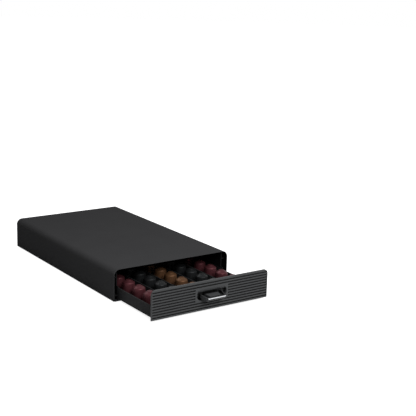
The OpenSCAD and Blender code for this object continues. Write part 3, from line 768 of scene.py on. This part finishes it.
def screw_boss(size, x, y):
    """One screw boss with its rib to the side wall; its top follows the middle of the sleeve's wall."""
    bore, bore_depth, web, facets = 1.55 * MM, 13 * MM, 1.6 * MM, 32
    root = 0.8  # the rib starts at this share of the boss's radius, so inside the boss
    low = SCREW_LOW.z + BOSS_LIFT
    arc_x, arc_z = SLEEVE_HIGH.x - size.corner, SLEEVE_HIGH.z - size.corner
    middle = size.corner - size.wall / 2

    def top(px):
        across = max(0.0, abs(px) - arc_x)
        return arc_z + math.sqrt(middle**2 - across**2)

    outer = size.boss / 2
    rings = []
    for radius, height in ((bore, low + bore_depth), (bore, low), (outer, low), (outer, None)):
        ring = []
        for k in range(facets):
            a = 2 * math.pi * k / facets
            px, py = x + radius * math.cos(a), y + radius * math.sin(a)
            ring.append((px, py, top(px) if height is None else height))
        rings.append(ring)
    faces = loft(rings) + [tuple(range(facets)), tuple(reversed(range(3 * facets, 4 * facets)))]
    verts = [v for ring in rings for v in ring]
    side = math.copysign(1, x)
    base = len(verts)
    for px in (x + side * outer * root, side * (SLEEVE_HIGH.x - size.wall / 2)):
        for py in (y - web / 2, y + web / 2):
            verts += [(px, py, low), (px, py, top(px))]
    box = ((0, 1, 3, 2), (4, 6, 7, 5), (0, 4, 5, 1), (2, 3, 7, 6), (0, 2, 6, 4), (1, 5, 7, 3))
    faces += [tuple(base + k for k in face) for face in box]
    return plain_mesh(mesh_object("boss", verts, faces))


def sleeve_shell(size):
    """The sleeve as one open shell, with a narrow rim and a sloping face round its mouth."""
    low, high = SLEEVE_LOW, SLEEVE_HIGH
    outer, rim, inner = (
        arch(high.x - inset, low.z, high.z - inset, size.corner - inset)
        for inset in (0.0, size.rim, size.wall)
    )
    rows = ((outer, low.y), (outer, high.y), (rim, low.y), (inner, low.y + size.flare),
            (inner, high.y - size.wall))
    verts = [(x, y, z) for row, y in rows for x, z in row]
    count = len(outer)
    o_mouth, o_back, edge, i_mouth, i_back = (list(range(k * count, (k + 1) * count)) for k in range(5))
    underside = (o_mouth[0], o_back[0], o_back[-1], o_mouth[-1], edge[-1],
                 i_mouth[-1], i_back[-1], i_back[0], i_mouth[0], edge[0])
    faces = [tuple(o_back), tuple(reversed(i_back)), underside]
    for i in range(count - 1):
        faces.append((o_mouth[i], o_mouth[i + 1], o_back[i + 1], o_back[i]))
        faces.append((i_mouth[i], i_back[i], i_back[i + 1], i_mouth[i + 1]))
        faces.append((o_mouth[i + 1], o_mouth[i], edge[i], edge[i + 1]))
        faces.append((edge[i + 1], edge[i], i_mouth[i], i_mouth[i + 1]))
    shell = mesh_object("sleeve_shell", verts, faces)
    return plain_mesh(rounded(shell, size.edge, segments=3, angle=50), settle=False)


class DRAWER_OT_sleeve(bpy.types.Operator):
    """Builds the moulded sleeve with its ceiling ribs and screw bosses"""

    bl_idname = "drawer.sleeve"
    bl_label = "Sleeve"

    def execute(self, context):
        size = context.scene.capsule_drawer.sleeve
        parts = [sleeve_shell(size), ceiling_ribs(size)]
        parts += [screw_boss(size, x, y) for x, y in case_screw_places(size)]
        hand_over(joined("case_sleeve", parts), "case_plastic", "case", "case_shell")
        return {"FINISHED"}


# ---- Front ----


def panel_outline(inset):
    """The front panel's outline, drawn in by an inset."""
    size = bpy.context.scene.capsule_drawer.front
    half, low, high = FRONT_HIGH.x - inset, FRONT_LOW.z + inset, FRONT_HIGH.z - inset
    return arch(half, low, high, size.corner - inset, FRONT_STEPS)


def groove_plan(size):
    """Groove pitch and the height of the lowest groove's middle."""
    return size.groove_pitch, FRONT_HIGH.z - size.groove_drop - (size.grooves - 1) * size.groove_pitch


def pad_span(size, pull):
    """The grooves that the smooth pad interrupts, since they come near the recess, and the pad's lower and
    upper edge: it reaches from the whole groove below them to the one above."""
    pitch, first = groove_plan(size)
    margin = 2 * MM
    low = SLEEVE_LOW.z + pull.recess_lift - margin
    high = low + pull.recess_height + 2 * margin
    crossed = [i for i in range(size.grooves) if low < first + i * pitch < high]
    return crossed, (first + (crossed[0] - 1) * pitch + size.groove_width / 2,
                     first + (crossed[-1] + 1) * pitch - size.groove_width / 2)


def recess_rings(pull, grow, start, roll=0.0, fillet=0.0):
    """Rings of (x, depth, z) points round the finger recess, from its edge at the start depth down its wall
    to its back, each from the upper left end of the lip down, along the floor and up to the upper right end.
    grow makes the body larger. Also returns how many points lie on the lip before the flat back begins."""
    lip_steps, side_steps, corner_steps, roll_steps, fillet_steps = 18, 3, 12, 4, 3
    floor = SLEEVE_LOW.z + pull.recess_lift
    bend_y, bend_z = pull.recess_depth + pull.lip_shift, floor + pull.recess_height + pull.lip_shift
    bend, deep = math.hypot(bend_y, pull.lip_shift) - grow, pull.recess_depth + grow
    top_x = pull.recess_width / 2 - pull.top_corner
    top_z = bend_z - pull.lip_shift + pull.lip_over - pull.top_corner
    low_x, low_z = pull.recess_width / 2 - pull.low_corner, floor + pull.low_corner
    top_r, low_r = pull.top_corner + grow, pull.low_corner + grow

    def depth(z):
        rise = bend_z - z
        return deep if rise >= bend else min(deep, bend_y - math.sqrt(bend**2 - rise**2))

    def outline(centre_x, centre_z, radius, angle, inset):
        return -centre_x - (radius - inset) * math.cos(angle), centre_z + (radius - inset) * math.sin(angle)

    # Corner arcs as (centre x, centre z, radius, angle, share of the full rounding)
    places = []
    first, last = math.acos((bend_y - start) / bend), math.acos((bend_y - deep) / bend)
    for k in range(lip_steps + 1):
        a = first + (last - first) * k / lip_steps
        z, down = bend_z - bend * math.sin(a), bend_y - bend * math.cos(a) - start
        share = min(1.0, max(0.0, down / (roll + fillet))) if roll + fillet else 1.0
        places.append((top_x, top_z, top_r, math.asin((z - top_z) / (top_r - fillet * share)), share))
    turn = places[-1][3]
    places += [(top_x, top_z, top_r, turn * (1 - k / side_steps), 1.0) for k in range(1, side_steps + 1)]
    places += [(low_x, low_z, low_r, -t, 1.0) for t in quarter(corner_steps)]

    def steps(place):
        """Steps down the wall as (inset, depth) for one place."""
        share = place[4]
        edge, foot = roll * share, fillet * share
        wall = max(start + edge, depth(outline(*place[:4], 0.0)[1]) - foot)
        end = depth(outline(*place[:4], foot)[1])
        path = [(edge * (math.sin(t) - 1), start + edge * (1 - math.cos(t))) for t in quarter(roll_steps)]
        path = path if roll else [(0.0, start)]
        base = [(foot * (1 - math.cos(t)), wall + (end - wall) * math.sin(t)) for t in quarter(fillet_steps)]
        return path + (base if fillet else [(0.0, end)])

    rings = []
    for k in range(len(steps(places[-1]))):
        left = []
        for place in places:
            inset, down = steps(place)[k]
            x, z = outline(*place[:4], inset)
            left.append((x, down, z))
        rings.append(left + [(-x, y, z) for x, y, z in reversed(left)])
    return rings, lip_steps


def pad_mesh(size, pull):
    """The smooth pad with the finger recess and the wall behind it, as one closed shell."""
    _, (low, high) = pad_span(size, pull)
    edge, recess_fillet = 0.3 * MM, 0.35 * MM
    half, rear = size.pad_width / 2, size.thickness - 0.02 * MM  # the pad's back stays just inside the panel
    draft = (size.groove_width - size.groove_floor) / 2
    work = bmesh.new()

    def points(row):
        return [work.verts.new((x, FACE_Y + y, z)) for x, y, z in row]

    def frame_loop(inset, rise, depth):
        """The pad's outline at a depth, drawn in by the inset and let out up and down by the rise."""
        x, bottom, top = half - inset, low + inset - rise, high - inset + rise
        return points([(-x, depth, bottom), (-x, depth, top), (x, depth, top), (x, depth, bottom)])

    def skin(rings, lip):
        """Faces over the rings from the face of the pad inwards, and over the recess's bent and flat back."""
        for a, b in zip(rings, rings[1:]):
            for k in range(len(a) - 1):
                work.faces.new((a[k], a[k + 1], b[k + 1], b[k]))
        end = rings[-1]
        for k in range(lip):
            work.faces.new((end[k], end[k + 1], end[-2 - k], end[-1 - k]))
        work.faces.new(end[lip : len(end) - lip])

    inner, lip = recess_rings(pull, 0.0, 0.0, pull.roll, recess_fillet)
    outer, _ = recess_rings(pull, pull.recess_wall, rear)
    inner, outer = [points(r) for r in inner], [points(r) for r in outer]
    skin(inner, lip)
    skin(outer, lip)
    sides = [frame_loop(edge * (1 - math.sin(t)), 0.0, edge * (1 - math.cos(t))) for t in quarter(3)]
    sides += [frame_loop(0.0, draft, size.groove_depth), frame_loop(0.0, draft, rear)]
    for a, b in zip(sides, sides[1:]):
        for k in range(4):
            work.faces.new((a[k], b[k], b[(k + 1) % 4], a[(k + 1) % 4]))
    flat_fill(work, [sides[0], inner[0]])
    flat_fill(work, [sides[-1], outer[0]])
    bmesh.ops.remove_doubles(work, verts=work.verts, dist=SEAM)
    bmesh.ops.dissolve_degenerate(work, edges=work.edges, dist=SEAM)
    bmesh.ops.recalc_face_normals(work, faces=work.faces)
    return plain_mesh(object_of(work, "pad"), settle=False)


def panel_mesh(size, pull):
    """The panel's plate: a rounded rim round a sunk field, with an opening for the pad."""
    pitch, first = groove_plan(size)
    _, (pad_low, pad_high) = pad_span(size, pull)
    depth, thick, edge = size.groove_depth, size.thickness, size.edge
    rear_edge, field_edge, field_corner, lap = 0.3 * MM, 0.3 * MM, 0.6 * MM, 0.15 * MM
    draft = (size.groove_width - size.groove_floor) / 2
    field_half, field_low = FRONT_HIGH.x - size.groove_end, first - size.groove_width / 2
    field_high = first + (size.grooves - 1) * pitch + size.groove_width / 2

    def field(inset):
        half, low, high = field_half - inset, field_low + inset, field_high - inset
        return arch(half, low, high, field_corner - inset, FRONT_STEPS)

    rings = [(panel_outline(rear_edge), thick), (panel_outline(0.3 * rear_edge), thick - 0.3 * rear_edge),
             (panel_outline(0), thick - rear_edge)]
    rings += [(panel_outline(edge * (1 - math.cos(t))), edge * (1 - math.sin(t))) for t in quarter(5)]
    rings += [(field(-field_edge * (1 - math.sin(t))), field_edge * (1 - math.cos(t))) for t in quarter(3)]
    rings.append((field(draft), depth))
    work = bmesh.new()
    loops = [[work.verts.new((x, FACE_Y + y, z)) for x, z in outline] for outline, y in rings]
    for a, b in zip(loops, loops[1:]):
        for k in range(len(a)):
            j = (k + 1) % len(a)
            work.faces.new((a[k], a[j], b[j], b[k]))
    side, low, high = size.pad_width / 2 - lap, pad_low + lap, pad_high - lap
    opening = ((-side, low), (-side, high), (side, high), (side, low))
    rear, front = ([work.verts.new((x, FACE_Y + y, z)) for x, z in opening] for y in (thick, depth))
    for k in range(4):
        j = (k + 1) % 4
        work.faces.new((rear[k], front[k], front[j], rear[j]))
    flat_fill(work, [loops[0], rear])
    flat_fill(work, [loops[-1], front])
    bmesh.ops.recalc_face_normals(work, faces=work.faces)
    return plain_mesh(object_of(work, "panel"), settle=False)


def front_ribs(size, pull):
    """The ribs between the grooves: whole ones, and two halves beside the pad."""
    pitch, first = groove_plan(size)
    crossed, _ = pad_span(size, pull)
    # how far the ribs reach into the panel, into its rim and into the pad, and stay below the face
    sunk, into_rim, into_pad, below = 0.2 * MM, 0.2 * MM, 0.5 * MM, 0.04 * MM
    end, start = FRONT_HIGH.x - size.groove_end + into_rim, size.pad_width / 2 - into_pad
    y = FACE_Y + size.groove_depth + sunk
    ends = []
    for k in range(1, size.grooves):
        xs = (-end, -start, start, end) if k in crossed and k - 1 in crossed else (-end, end)
        ends += [(x, y, first + (k - 0.5) * pitch) for x in xs]
    return swept_bars(
        "Front ribs", ends, size.groove_depth + sunk - below, pitch - size.groove_floor,
        pitch - size.groove_width, 0.4 * MM, "front_plastic",
    )


class DRAWER_OT_front(bpy.types.Operator):
    """Builds the ribbed front with its smooth pad, finger recess and screw spigots"""

    bl_idname = "drawer.front"
    bl_label = "Ribbed front"

    def execute(self, context):
        settings = context.scene.capsule_drawer
        size, pull = settings.front, settings.pull
        sunk = 0.5 * MM
        profile = [(0.24, 0.0), (0.5, 0.0), (0.5, 0.93), (0.465, 1.0), (0.28, 1.0), (0.24, 0.95), (0.24, 0.0)]
        spigots = turned_set(
            "spigots", [(x, FACE_Y + size.thickness - sunk, FRONT_SCREW_Z) for x in SPIGOT_X],
            turned_tree("Spigots", profile), size.spigot, SPIGOT_END - FACE_Y - size.thickness + sunk, 40,
            "front_plastic", ALONG_Y,
        )
        parts = [panel_mesh(size, pull), pad_mesh(size, pull), front_ribs(size, pull), spigots]
        hand_over(joined("drawer_front_ribbed", parts), "front_plastic", "drawer", "drawer_front")
        return {"FINISHED"}


# ---- Grip ----


def grip_body(pull, floor):
    """The shelf-like grip: tapered to its tip, undercut below the strip, with a channel round its top."""
    reach, depth = FACE_Y - TIP_Y, pull.recess_depth
    nose = pull.trim_depth - reach
    root, tip, bevel = pull.root_width / 2, pull.tip_width / 2, pull.bevel
    slope = (tip - root) / nose
    # The channel's two edges: how far each is drawn in at the sides and back from the front
    near = (pull.rim, pull.front_rim)
    far = (pull.rim + pull.channel_width, pull.front_rim + pull.front_channel)
    strip_lap, rear_gap, edge = 0.3 * MM, 0.3 * MM, 0.3 * MM

    def top(y):
        return floor + pull.root_height - (pull.fall * -y / reach if y < 0 else 0)

    def bottom(y):
        return floor + (pull.root_height - pull.fall - pull.tip_height) * max(0.0, -y) / reach

    def brow(y):
        return TRIM_LOW.z - strip_lap if y < 0 else (top(y) + bottom(y)) / 2

    def channel(y):
        return top(y) - pull.channel_depth

    def plan(inset, back):
        """Plan of the right half from the rear to the front, with a point at the face plane."""
        return [(min(root - bevel - inset / 2, root - inset), depth), (root - inset, depth - bevel),
                (root - inset, max(back, rear_gap)),
                (root - inset - slope * back, 0.0), (tip - inset, nose + back)]

    verts = []

    def row(half, height):
        start = len(verts)
        verts.extend((x, FACE_Y + y, height(y)) for x, y in half)
        verts.extend((-x, FACE_Y + y, height(y)) for x, y in reversed(half))
        return list(range(start, len(verts)))

    whole = plan(0, 0)
    under = row(whole[:-1] + [(tip + slope * pull.undercut, nose + pull.undercut)], bottom)
    levels = [under, row(whole, brow), row(whole, top), row(plan(*near), top), row(plan(*near), channel),
              row(plan(*far), channel), row(plan(*far), top)]
    faces = []
    for a, b in zip(levels, levels[1:]):
        for k in range(len(under) - 1):
            faces.append((a[k], a[k + 1], b[k + 1], b[k]))
    faces.append(tuple(level[0] for level in levels) + tuple(level[-1] for level in reversed(levels)))
    for level in (levels[0], levels[-1]):
        faces.append(tuple(level[:4] + level[-4:]))
        faces.append(tuple(level[3:7]))
    body = mesh_object("grip_body", verts, faces)
    turned_outwards(body.data, seam=0)
    return plain_mesh(rounded(body, edge, segments=3, angle=20), settle=False)


def bright_strip():
    """The strip on the grip's edge: a crowned section that narrows a little at both ends."""
    shorter, slimmer = 0.5, 0.86  # mm at each end, and share of the height
    middle = (TRIM_LOW.z + TRIM_HIGH.z) / 2
    tall, thick = (TRIM_HIGH.z - TRIM_LOW.z) / 2, TRIM_HIGH.y - TRIM_LOW.y
    section = [(0.0, -1.0), (0.55, -1.0), (0.78, -0.93), (0.92, -0.75), (0.98, -0.45), (1.0, 0.0),
               (0.98, 0.45), (0.92, 0.75), (0.78, 0.93), (0.55, 1.0), (0.0, 1.0)]
    rings = []
    for inset, share in ((0, 0.55), (0.08, 0.76), (0.25, 0.9), (0.55, 0.98), (0.9, 1.0)):
        x = TRIM_LOW.x + (shorter + inset) * MM
        rings.append([
            (x, TRIM_HIGH.y - thick * depth * share, middle + tall * slimmer * rise * share)
            for depth, rise in section
        ])
    rings += [[(-x, y, z) for x, y, z in ring] for ring in reversed(rings)]
    count = len(section)
    ends = [tuple(range(count)), tuple(reversed(range((len(rings) - 1) * count, len(rings) * count)))]
    strip = mesh_object("pull_bright_strip", [v for ring in rings for v in ring], loft(rings) + ends)
    return plain_mesh(strip)


class DRAWER_OT_grip(bpy.types.Operator):
    """Builds the shelf-like grip with its channel and its pegs, and the bright strip on its edge"""

    bl_idname = "drawer.grip"
    bl_label = "Grip and bright strip"

    def execute(self, context):
        pull = context.scene.capsule_drawer.pull
        floor = SLEEVE_LOW.z + pull.recess_lift
        sunk = 1 * MM
        profile = [(0, 0), (0.5, 0), (0.5, 0.86), (0.47, 0.93), (0.38, 0.99), (0.2, 1.0), (0, 1.0)]
        seat = (FACE_Y + pull.recess_depth - sunk, floor + pull.root_height / 2)
        body = grip_body(pull, floor)
        pegs = turned_set(
            "pegs", [(side * pull.peg_pitch / 2, *seat) for side in (-1, 1)], turned_tree("Pegs", profile),
            pull.peg, PEG_END - FACE_Y - pull.recess_depth + sunk, 32, "front_plastic", ALONG_Y,
        )
        hand_over(joined("pull_grip_rimmed", [body, pegs]), "front_plastic", "drawer", "pull_grip")
        hand_over(bright_strip(), "trim_chrome", "drawer", "pull_trim")
        return {"FINISHED"}


# ---- Tray, base and guide rails ----


class DRAWER_OT_tray(bpy.types.Operator):
    """Dresses the tray and the four lane dividers with rounded edges"""

    bl_idname = "drawer.tray"
    bl_label = "Tray and dividers"

    def execute(self, context):
        tray = softened("drawer_tray", "tray_body", 0.35 * MM)
        hand_over(tray, "tray_plastic", "drawer", "drawer_tray")
        for i in range(1, LANES):
            name = f"lane_divider_{i}"
            hand_over(softened(name, f"divider_wall_{i}", 0.25 * MM), "tray_plastic", "drawer", name)
        return {"FINISHED"}


def lead_in(work):
    """Sets the upper part of a guide rail's front end back, with a short step above the hold-down ledge."""
    above, rise, back = 3 * MM, 1 * MM, 6 * MM
    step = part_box("drawer_tray")[1].z + above
    for height in (step, step + rise):
        everything = work.verts[:] + work.edges[:] + work.faces[:]
        bmesh.ops.bisect_plane(work, geom=everything, plane_co=(0, 0, height), plane_no=(0, 0, 1))
    for vert in work.verts:
        if vert.co.y < MOUTH_Y + back / 2 and vert.co.z > step + rise / 2:
            vert.co.y += back


class DRAWER_OT_chassis(bpy.types.Operator):
    """Dresses the base plate and the two guide rails with rounded edges"""

    bl_idname = "drawer.chassis"
    bl_label = "Base plate and guide rails"

    def execute(self, context):
        hand_over(softened("base_plate", "base_moulding", 0.3 * MM), "base_plastic", "case", "base_plate")
        for side in ("left", "right"):
            rail = softened(f"guide_rail_{side}", f"guide_{side}", 0.3 * MM, trim=lead_in)
            hand_over(rail, "rail_plastic", "case", f"guide_rail_{side}")
        return {"FINISHED"}


# ---- Screws and feet ----


def threads(core, crest, low, high, pitch):
    """Profile points of a thread, drawn as rings, from low to high; core and crest are its radii."""
    points = []
    z = low
    while z < high:
        points += [(core, z), (crest, z + pitch * 0.45), (crest, z + pitch * 0.55)]
        z += pitch
    return points


class DRAWER_OT_fixings(bpy.types.Operator):
    """Builds the case screws, the washer-head front screws and the rubber feet"""

    bl_idname = "drawer.fixings"
    bl_label = "Screws and feet"

    def execute(self, context):
        # Profiles: radius as a share of the head's or foot's diameter, height as a share of the whole length.
        # Case screws stand head down.
        long = SCREW_HIGH.z - SCREW_LOW.z
        head = HEAD_HEIGHT / long
        profile = [(0, 0), (0.3, 0), (0.42, 0.008), (0.48, 0.024), (0.5, 0.045), (0.5, head), (0.27, head)]
        profile += threads(0.22, 0.29, head + 0.02, 0.9, 0.052)
        profile += [(0.2, 0.94), (0.08, 0.99), (0, 1.0)]
        places = [(x, y, SCREW_LOW.z) for x, y in case_screw_places(context.scene.capsule_drawer.sleeve)]
        tree = turned_tree("Case screws", profile, (2.4 * MM, 0.0))
        screws = turned_set("case_screw_set", places, tree, SCREW_HEAD, long, 28, "screw_steel")
        hand_over(screws, "screw_steel", "case", "case_screws")

        # Front screws point forwards.
        long, wide = FRONT_SCREW_HIGH.y - FRONT_SCREW_LOW.y, FRONT_SCREW_HIGH.z - FRONT_SCREW_LOW.z
        head = (long - HEAD_HEIGHT) / long
        profile = [(0, 0), (0.1, 0.02), (0.13, 0.06)] + threads(0.115, 0.15, 0.08, head - 0.08, 0.14)
        profile += [(0.15, head), (0.49, head), (0.5, head + 0.03), (0.5, head + 0.07), (0.47, head + 0.1),
                    (0.29, head + 0.12), (0.27, head + 0.2), (0.22, 0.985), (0.15, 1.0), (0, 1.0)]
        places = [(x, FRONT_SCREW_LOW.y, FRONT_SCREW_Z) for x in SPIGOT_X]
        tree = turned_tree("Front screws", profile, (3.0 * MM, long))
        screws = turned_set("front_screw_set", places, tree, wide, long, 36, "screw_steel", ALONG_Y)
        hand_over(screws, "screw_steel", "drawer", "front_screws")

        profile = [(0, 0.14), (0.17, 0.14), (0.2, 0.1), (0.22, 0.0), (0.4, 0.0), (0.455, 0.05), (0.485, 0.16),
                   (0.5, 0.34), (0.5, 0.96), (0.49, 1.0), (0, 1.0)]
        xs, ys = ((FOOT_LOW[i] + FOOT / 2, FOOT_HIGH[i] - FOOT / 2) for i in (0, 1))
        places = [(x, y, FOOT_LOW.z) for x in xs for y in ys]
        tree, tall = turned_tree("Feet", profile), FOOT_HIGH.z - FOOT_LOW.z
        feet = turned_set("foot_pads", places, tree, FOOT, tall, 48, "foot_rubber")
        hand_over(feet, "foot_rubber", "case", "rubber_feet")
        return {"FINISHED"}


# ---- Capsules ----


# Half section of a capsule in mm: rolled rim, drawn body, tight shoulder, straight cone, short flat tip
CAPSULE_RIM, CAPSULE_HEIGHT = 37.1, 28.6
CAPSULE_SECTION = (
    (0, 0), (15.2, 0), (18.1, 0), (18.42, 0.14), (18.55, 0.42), (18.55, 0.8), (18.42, 1.06), (18.1, 1.2),
    (17.7, 1.14), (17.3, 0.86), (16.8, 0.7), (15.6, 0.7), (15.1, 0.84), (14.8, 1.2), (14.66, 1.8),
    (14.36, 2.9), (14.18, 3.1), (14.08, 3.4), (13.9, 4.1), (13.35, 8.0), (12.75, 13.0), (12.28, 18.0),
    (11.92, 21.2), (11.72, 22.6), (11.56, 23.35), (11.3, 23.95), (10.9, 24.45), (10.2, 24.98), (8.4, 26.12),
    (6.5, 27.28), (5.85, 27.7), (5.5, 27.95), (5.28, 28.25), (5.06, 28.48), (4.75, 28.58), (4.3, 28.6),
    (3.4, 28.5), (0, 28.45),
)
# Foil: radius as a share of its diameter, height as a share of its thickness
FOIL_SECTION = (
    (0, 0.1), (0.33, 0.1), (0.34, 0.0), (0.487, 0.0), (0.5, 0.3), (0.5, 0.8), (0.49, 1.0), (0, 1.0),
)
LANE_SLOTS = (
    "capsule_burgundy", "capsule_charcoal", "capsule_bronze", "capsule_charcoal", "capsule_burgundy",
)


class DRAWER_OT_capsules(bpy.types.Operator):
    """Builds the five lanes of aluminium capsules and the foils that close them"""

    bl_idname = "drawer.capsules"
    bl_label = "Capsules"

    def execute(self, context):
        size = context.scene.capsule_drawer.capsule
        tree = turned_tree("Capsules", [(r / CAPSULE_RIM, z / CAPSULE_HEIGHT) for r, z in CAPSULE_SECTION])
        low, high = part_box("capsule_foils")
        foil_places = []
        for i, slot in enumerate(LANE_SLOTS):
            x = (i - (LANES - 1) / 2) * LANE_PITCH
            ys = [ROW_Y + k * ROW_PITCH for k in range(size.rows)]
            foil_places += [(x, y, low.z) for y in ys]
            lane = [(x, y, LANE_LOW.z) for y in ys]
            row = turned_set(f"capsule_row_{i + 1}", lane, tree, size.rim, size.height, size.around, slot)
            hand_over(row, slot, "drawer", f"capsules_lane_{i + 1}")
        tree = turned_tree("Foils", FOIL_SECTION)
        foils = turned_set(
            "foil_discs", foil_places, tree, size.rim - FOIL_INSET, high.z - low.z, 40, "foil_aluminium"
        )
        hand_over(foils, "foil_aluminium", "drawer", "capsule_foils")
        return {"FINISHED"}


# ---- Stage ----


def lamp(name, power, at, aim, width, height):
    """A soft rectangular lamp that points from one place at another."""
    light = bpy.data.lights.new(name, "AREA")
    light.shape = "RECTANGLE"
    light.size, light.size_y, light.energy = width, height, power
    made = linked(name, light)
    made.location = at
    made.rotation_euler = (Vector(aim) - Vector(at)).to_track_quat("-Z", "Y").to_euler()


def surroundings(stage):
    """The world: white to the eye and in reflections, weaker as light."""
    world = bpy.data.worlds.new("Studio")
    world.use_nodes = True
    tree = world.node_tree
    tree.nodes.clear()
    strength = ramp(tree, seen(tree), 0.0, 1.0, stage.sky, 1.0)
    sky = node(tree, "ShaderNodeBackground", {"Color": (1, 1, 1, 1), "Strength": strength})
    node(tree, "ShaderNodeOutputWorld", {"Surface": sky.outputs[0]})
    return world


def pale_floor(stage):
    """A broad disc, white to the eye but for the object's shadow: its glow rises to full strength away from
    the object, where the lamps no longer reach."""
    facets = 64
    angles = [2 * math.pi * k / facets for k in range(facets)]
    rings = [[(r * math.cos(a), r * math.sin(a), 0.0) for a in angles] for r in FLOOR_RADII]
    middle = tuple(reversed(range(facets)))
    floor = mesh_object("floor", [v for ring in rings for v in ring], loft(rings) + [middle])
    material, tree = new_material("pale_floor")
    lit = node(tree, "ShaderNodeBsdfDiffuse", {"Color": (stage.floor, stage.floor, stage.floor, 1)})
    away = node(tree, "ShaderNodeVectorMath", {0: place(tree)}, operation="LENGTH").outputs["Value"]
    glow = calc(tree, "MULTIPLY", seen(tree), ramp(tree, away, GLOW_START, GLOW_END, stage.glow, 1.0))
    bright = node(tree, "ShaderNodeEmission", {"Color": (1, 1, 1, 1), "Strength": glow})
    both = node(tree, "ShaderNodeAddShader", {0: lit.outputs[0], 1: bright.outputs[0]})
    node(tree, "ShaderNodeOutputMaterial", {"Surface": both.outputs[0]})
    floor.data.materials.append(material)
    return floor


def camera_at(lens):
    """The camera at its place, turned by its heading, pitch and roll."""
    heading, pitch, roll = (math.radians(a) for a in CAMERA_TURN)
    level = math.cos(pitch)
    ahead = Vector((math.sin(heading) * level, math.cos(heading) * level, -math.sin(pitch)))
    right = Vector((math.cos(heading), -math.sin(heading), 0))
    up = right.cross(ahead)
    right, up = right * math.cos(roll) + up * math.sin(roll), up * math.cos(roll) - right * math.sin(roll)
    data = bpy.data.cameras.new("Camera")
    data.lens, data.sensor_width = lens, SENSOR
    data.clip_start, data.clip_end = 0.05, 60
    camera = linked("Camera", data)
    camera.location = CAMERA_AT
    camera.rotation_euler = Matrix((right, up, -ahead)).transposed().to_euler()
    return camera


class DRAWER_OT_stage(bpy.types.Operator):
    """Sets up the pale floor, the soft lamps, the even surroundings and the camera"""

    bl_idname = "drawer.stage"
    bl_label = "Stage"

    def execute(self, context):
        scene, stage = context.scene, context.scene.capsule_drawer.stage
        scene.view_settings.view_transform = "Standard"
        scene.world = surroundings(stage)
        pale_floor(stage)
        for name, setting, *place_and_size in LAMPS:
            lamp(name, getattr(stage, setting), *place_and_size)
        scene.camera = camera_at(stage.lens)
        return {"FINISHED"}


# ---- Sidebar and registration ----


class DRAWER_PT_sidebar(bpy.types.Panel):
    """Lists the pieces of the capsule drawer"""

    bl_idname = "DRAWER_PT_sidebar"
    bl_label = "Capsule Drawer"
    bl_space_type = "VIEW_3D"
    bl_region_type = "UI"
    bl_category = "Capsule Drawer"

    def draw(self, context):
        settings = context.scene.capsule_drawer
        for operator in OPERATORS:
            self.layout.operator(operator.bl_idname)
        for label in ("sleeve", "front", "pull", "capsule", "finish", "stage"):
            values = getattr(settings, label)
            column = self.layout.column(heading=label.capitalize())
            for name in values.__annotations__:
                column.prop(values, name)


OPERATORS = (
    DRAWER_OT_sleeve, DRAWER_OT_chassis, DRAWER_OT_tray, DRAWER_OT_front, DRAWER_OT_grip, DRAWER_OT_fixings,
    DRAWER_OT_capsules, DRAWER_OT_stage,
)
GROUPS = (SleeveSizes, FrontSizes, PullSizes, CapsuleSizes, Finishes, StageSettings, DrawerSettings)


def register():
    for kind in GROUPS + OPERATORS + (DRAWER_PT_sidebar,):
        bpy.utils.register_class(kind)
    bpy.types.Scene.capsule_drawer = bpy.props.PointerProperty(type=DrawerSettings)


def unregister():
    del bpy.types.Scene.capsule_drawer
    for kind in reversed(GROUPS + OPERATORS + (DRAWER_PT_sidebar,)):
        bpy.utils.unregister_class(kind)


def main():
    register()
    for operator in OPERATORS:
        family, name = operator.bl_idname.split(".")
        getattr(getattr(bpy.ops, family), name)()


if __name__ == "__main__":
    main()
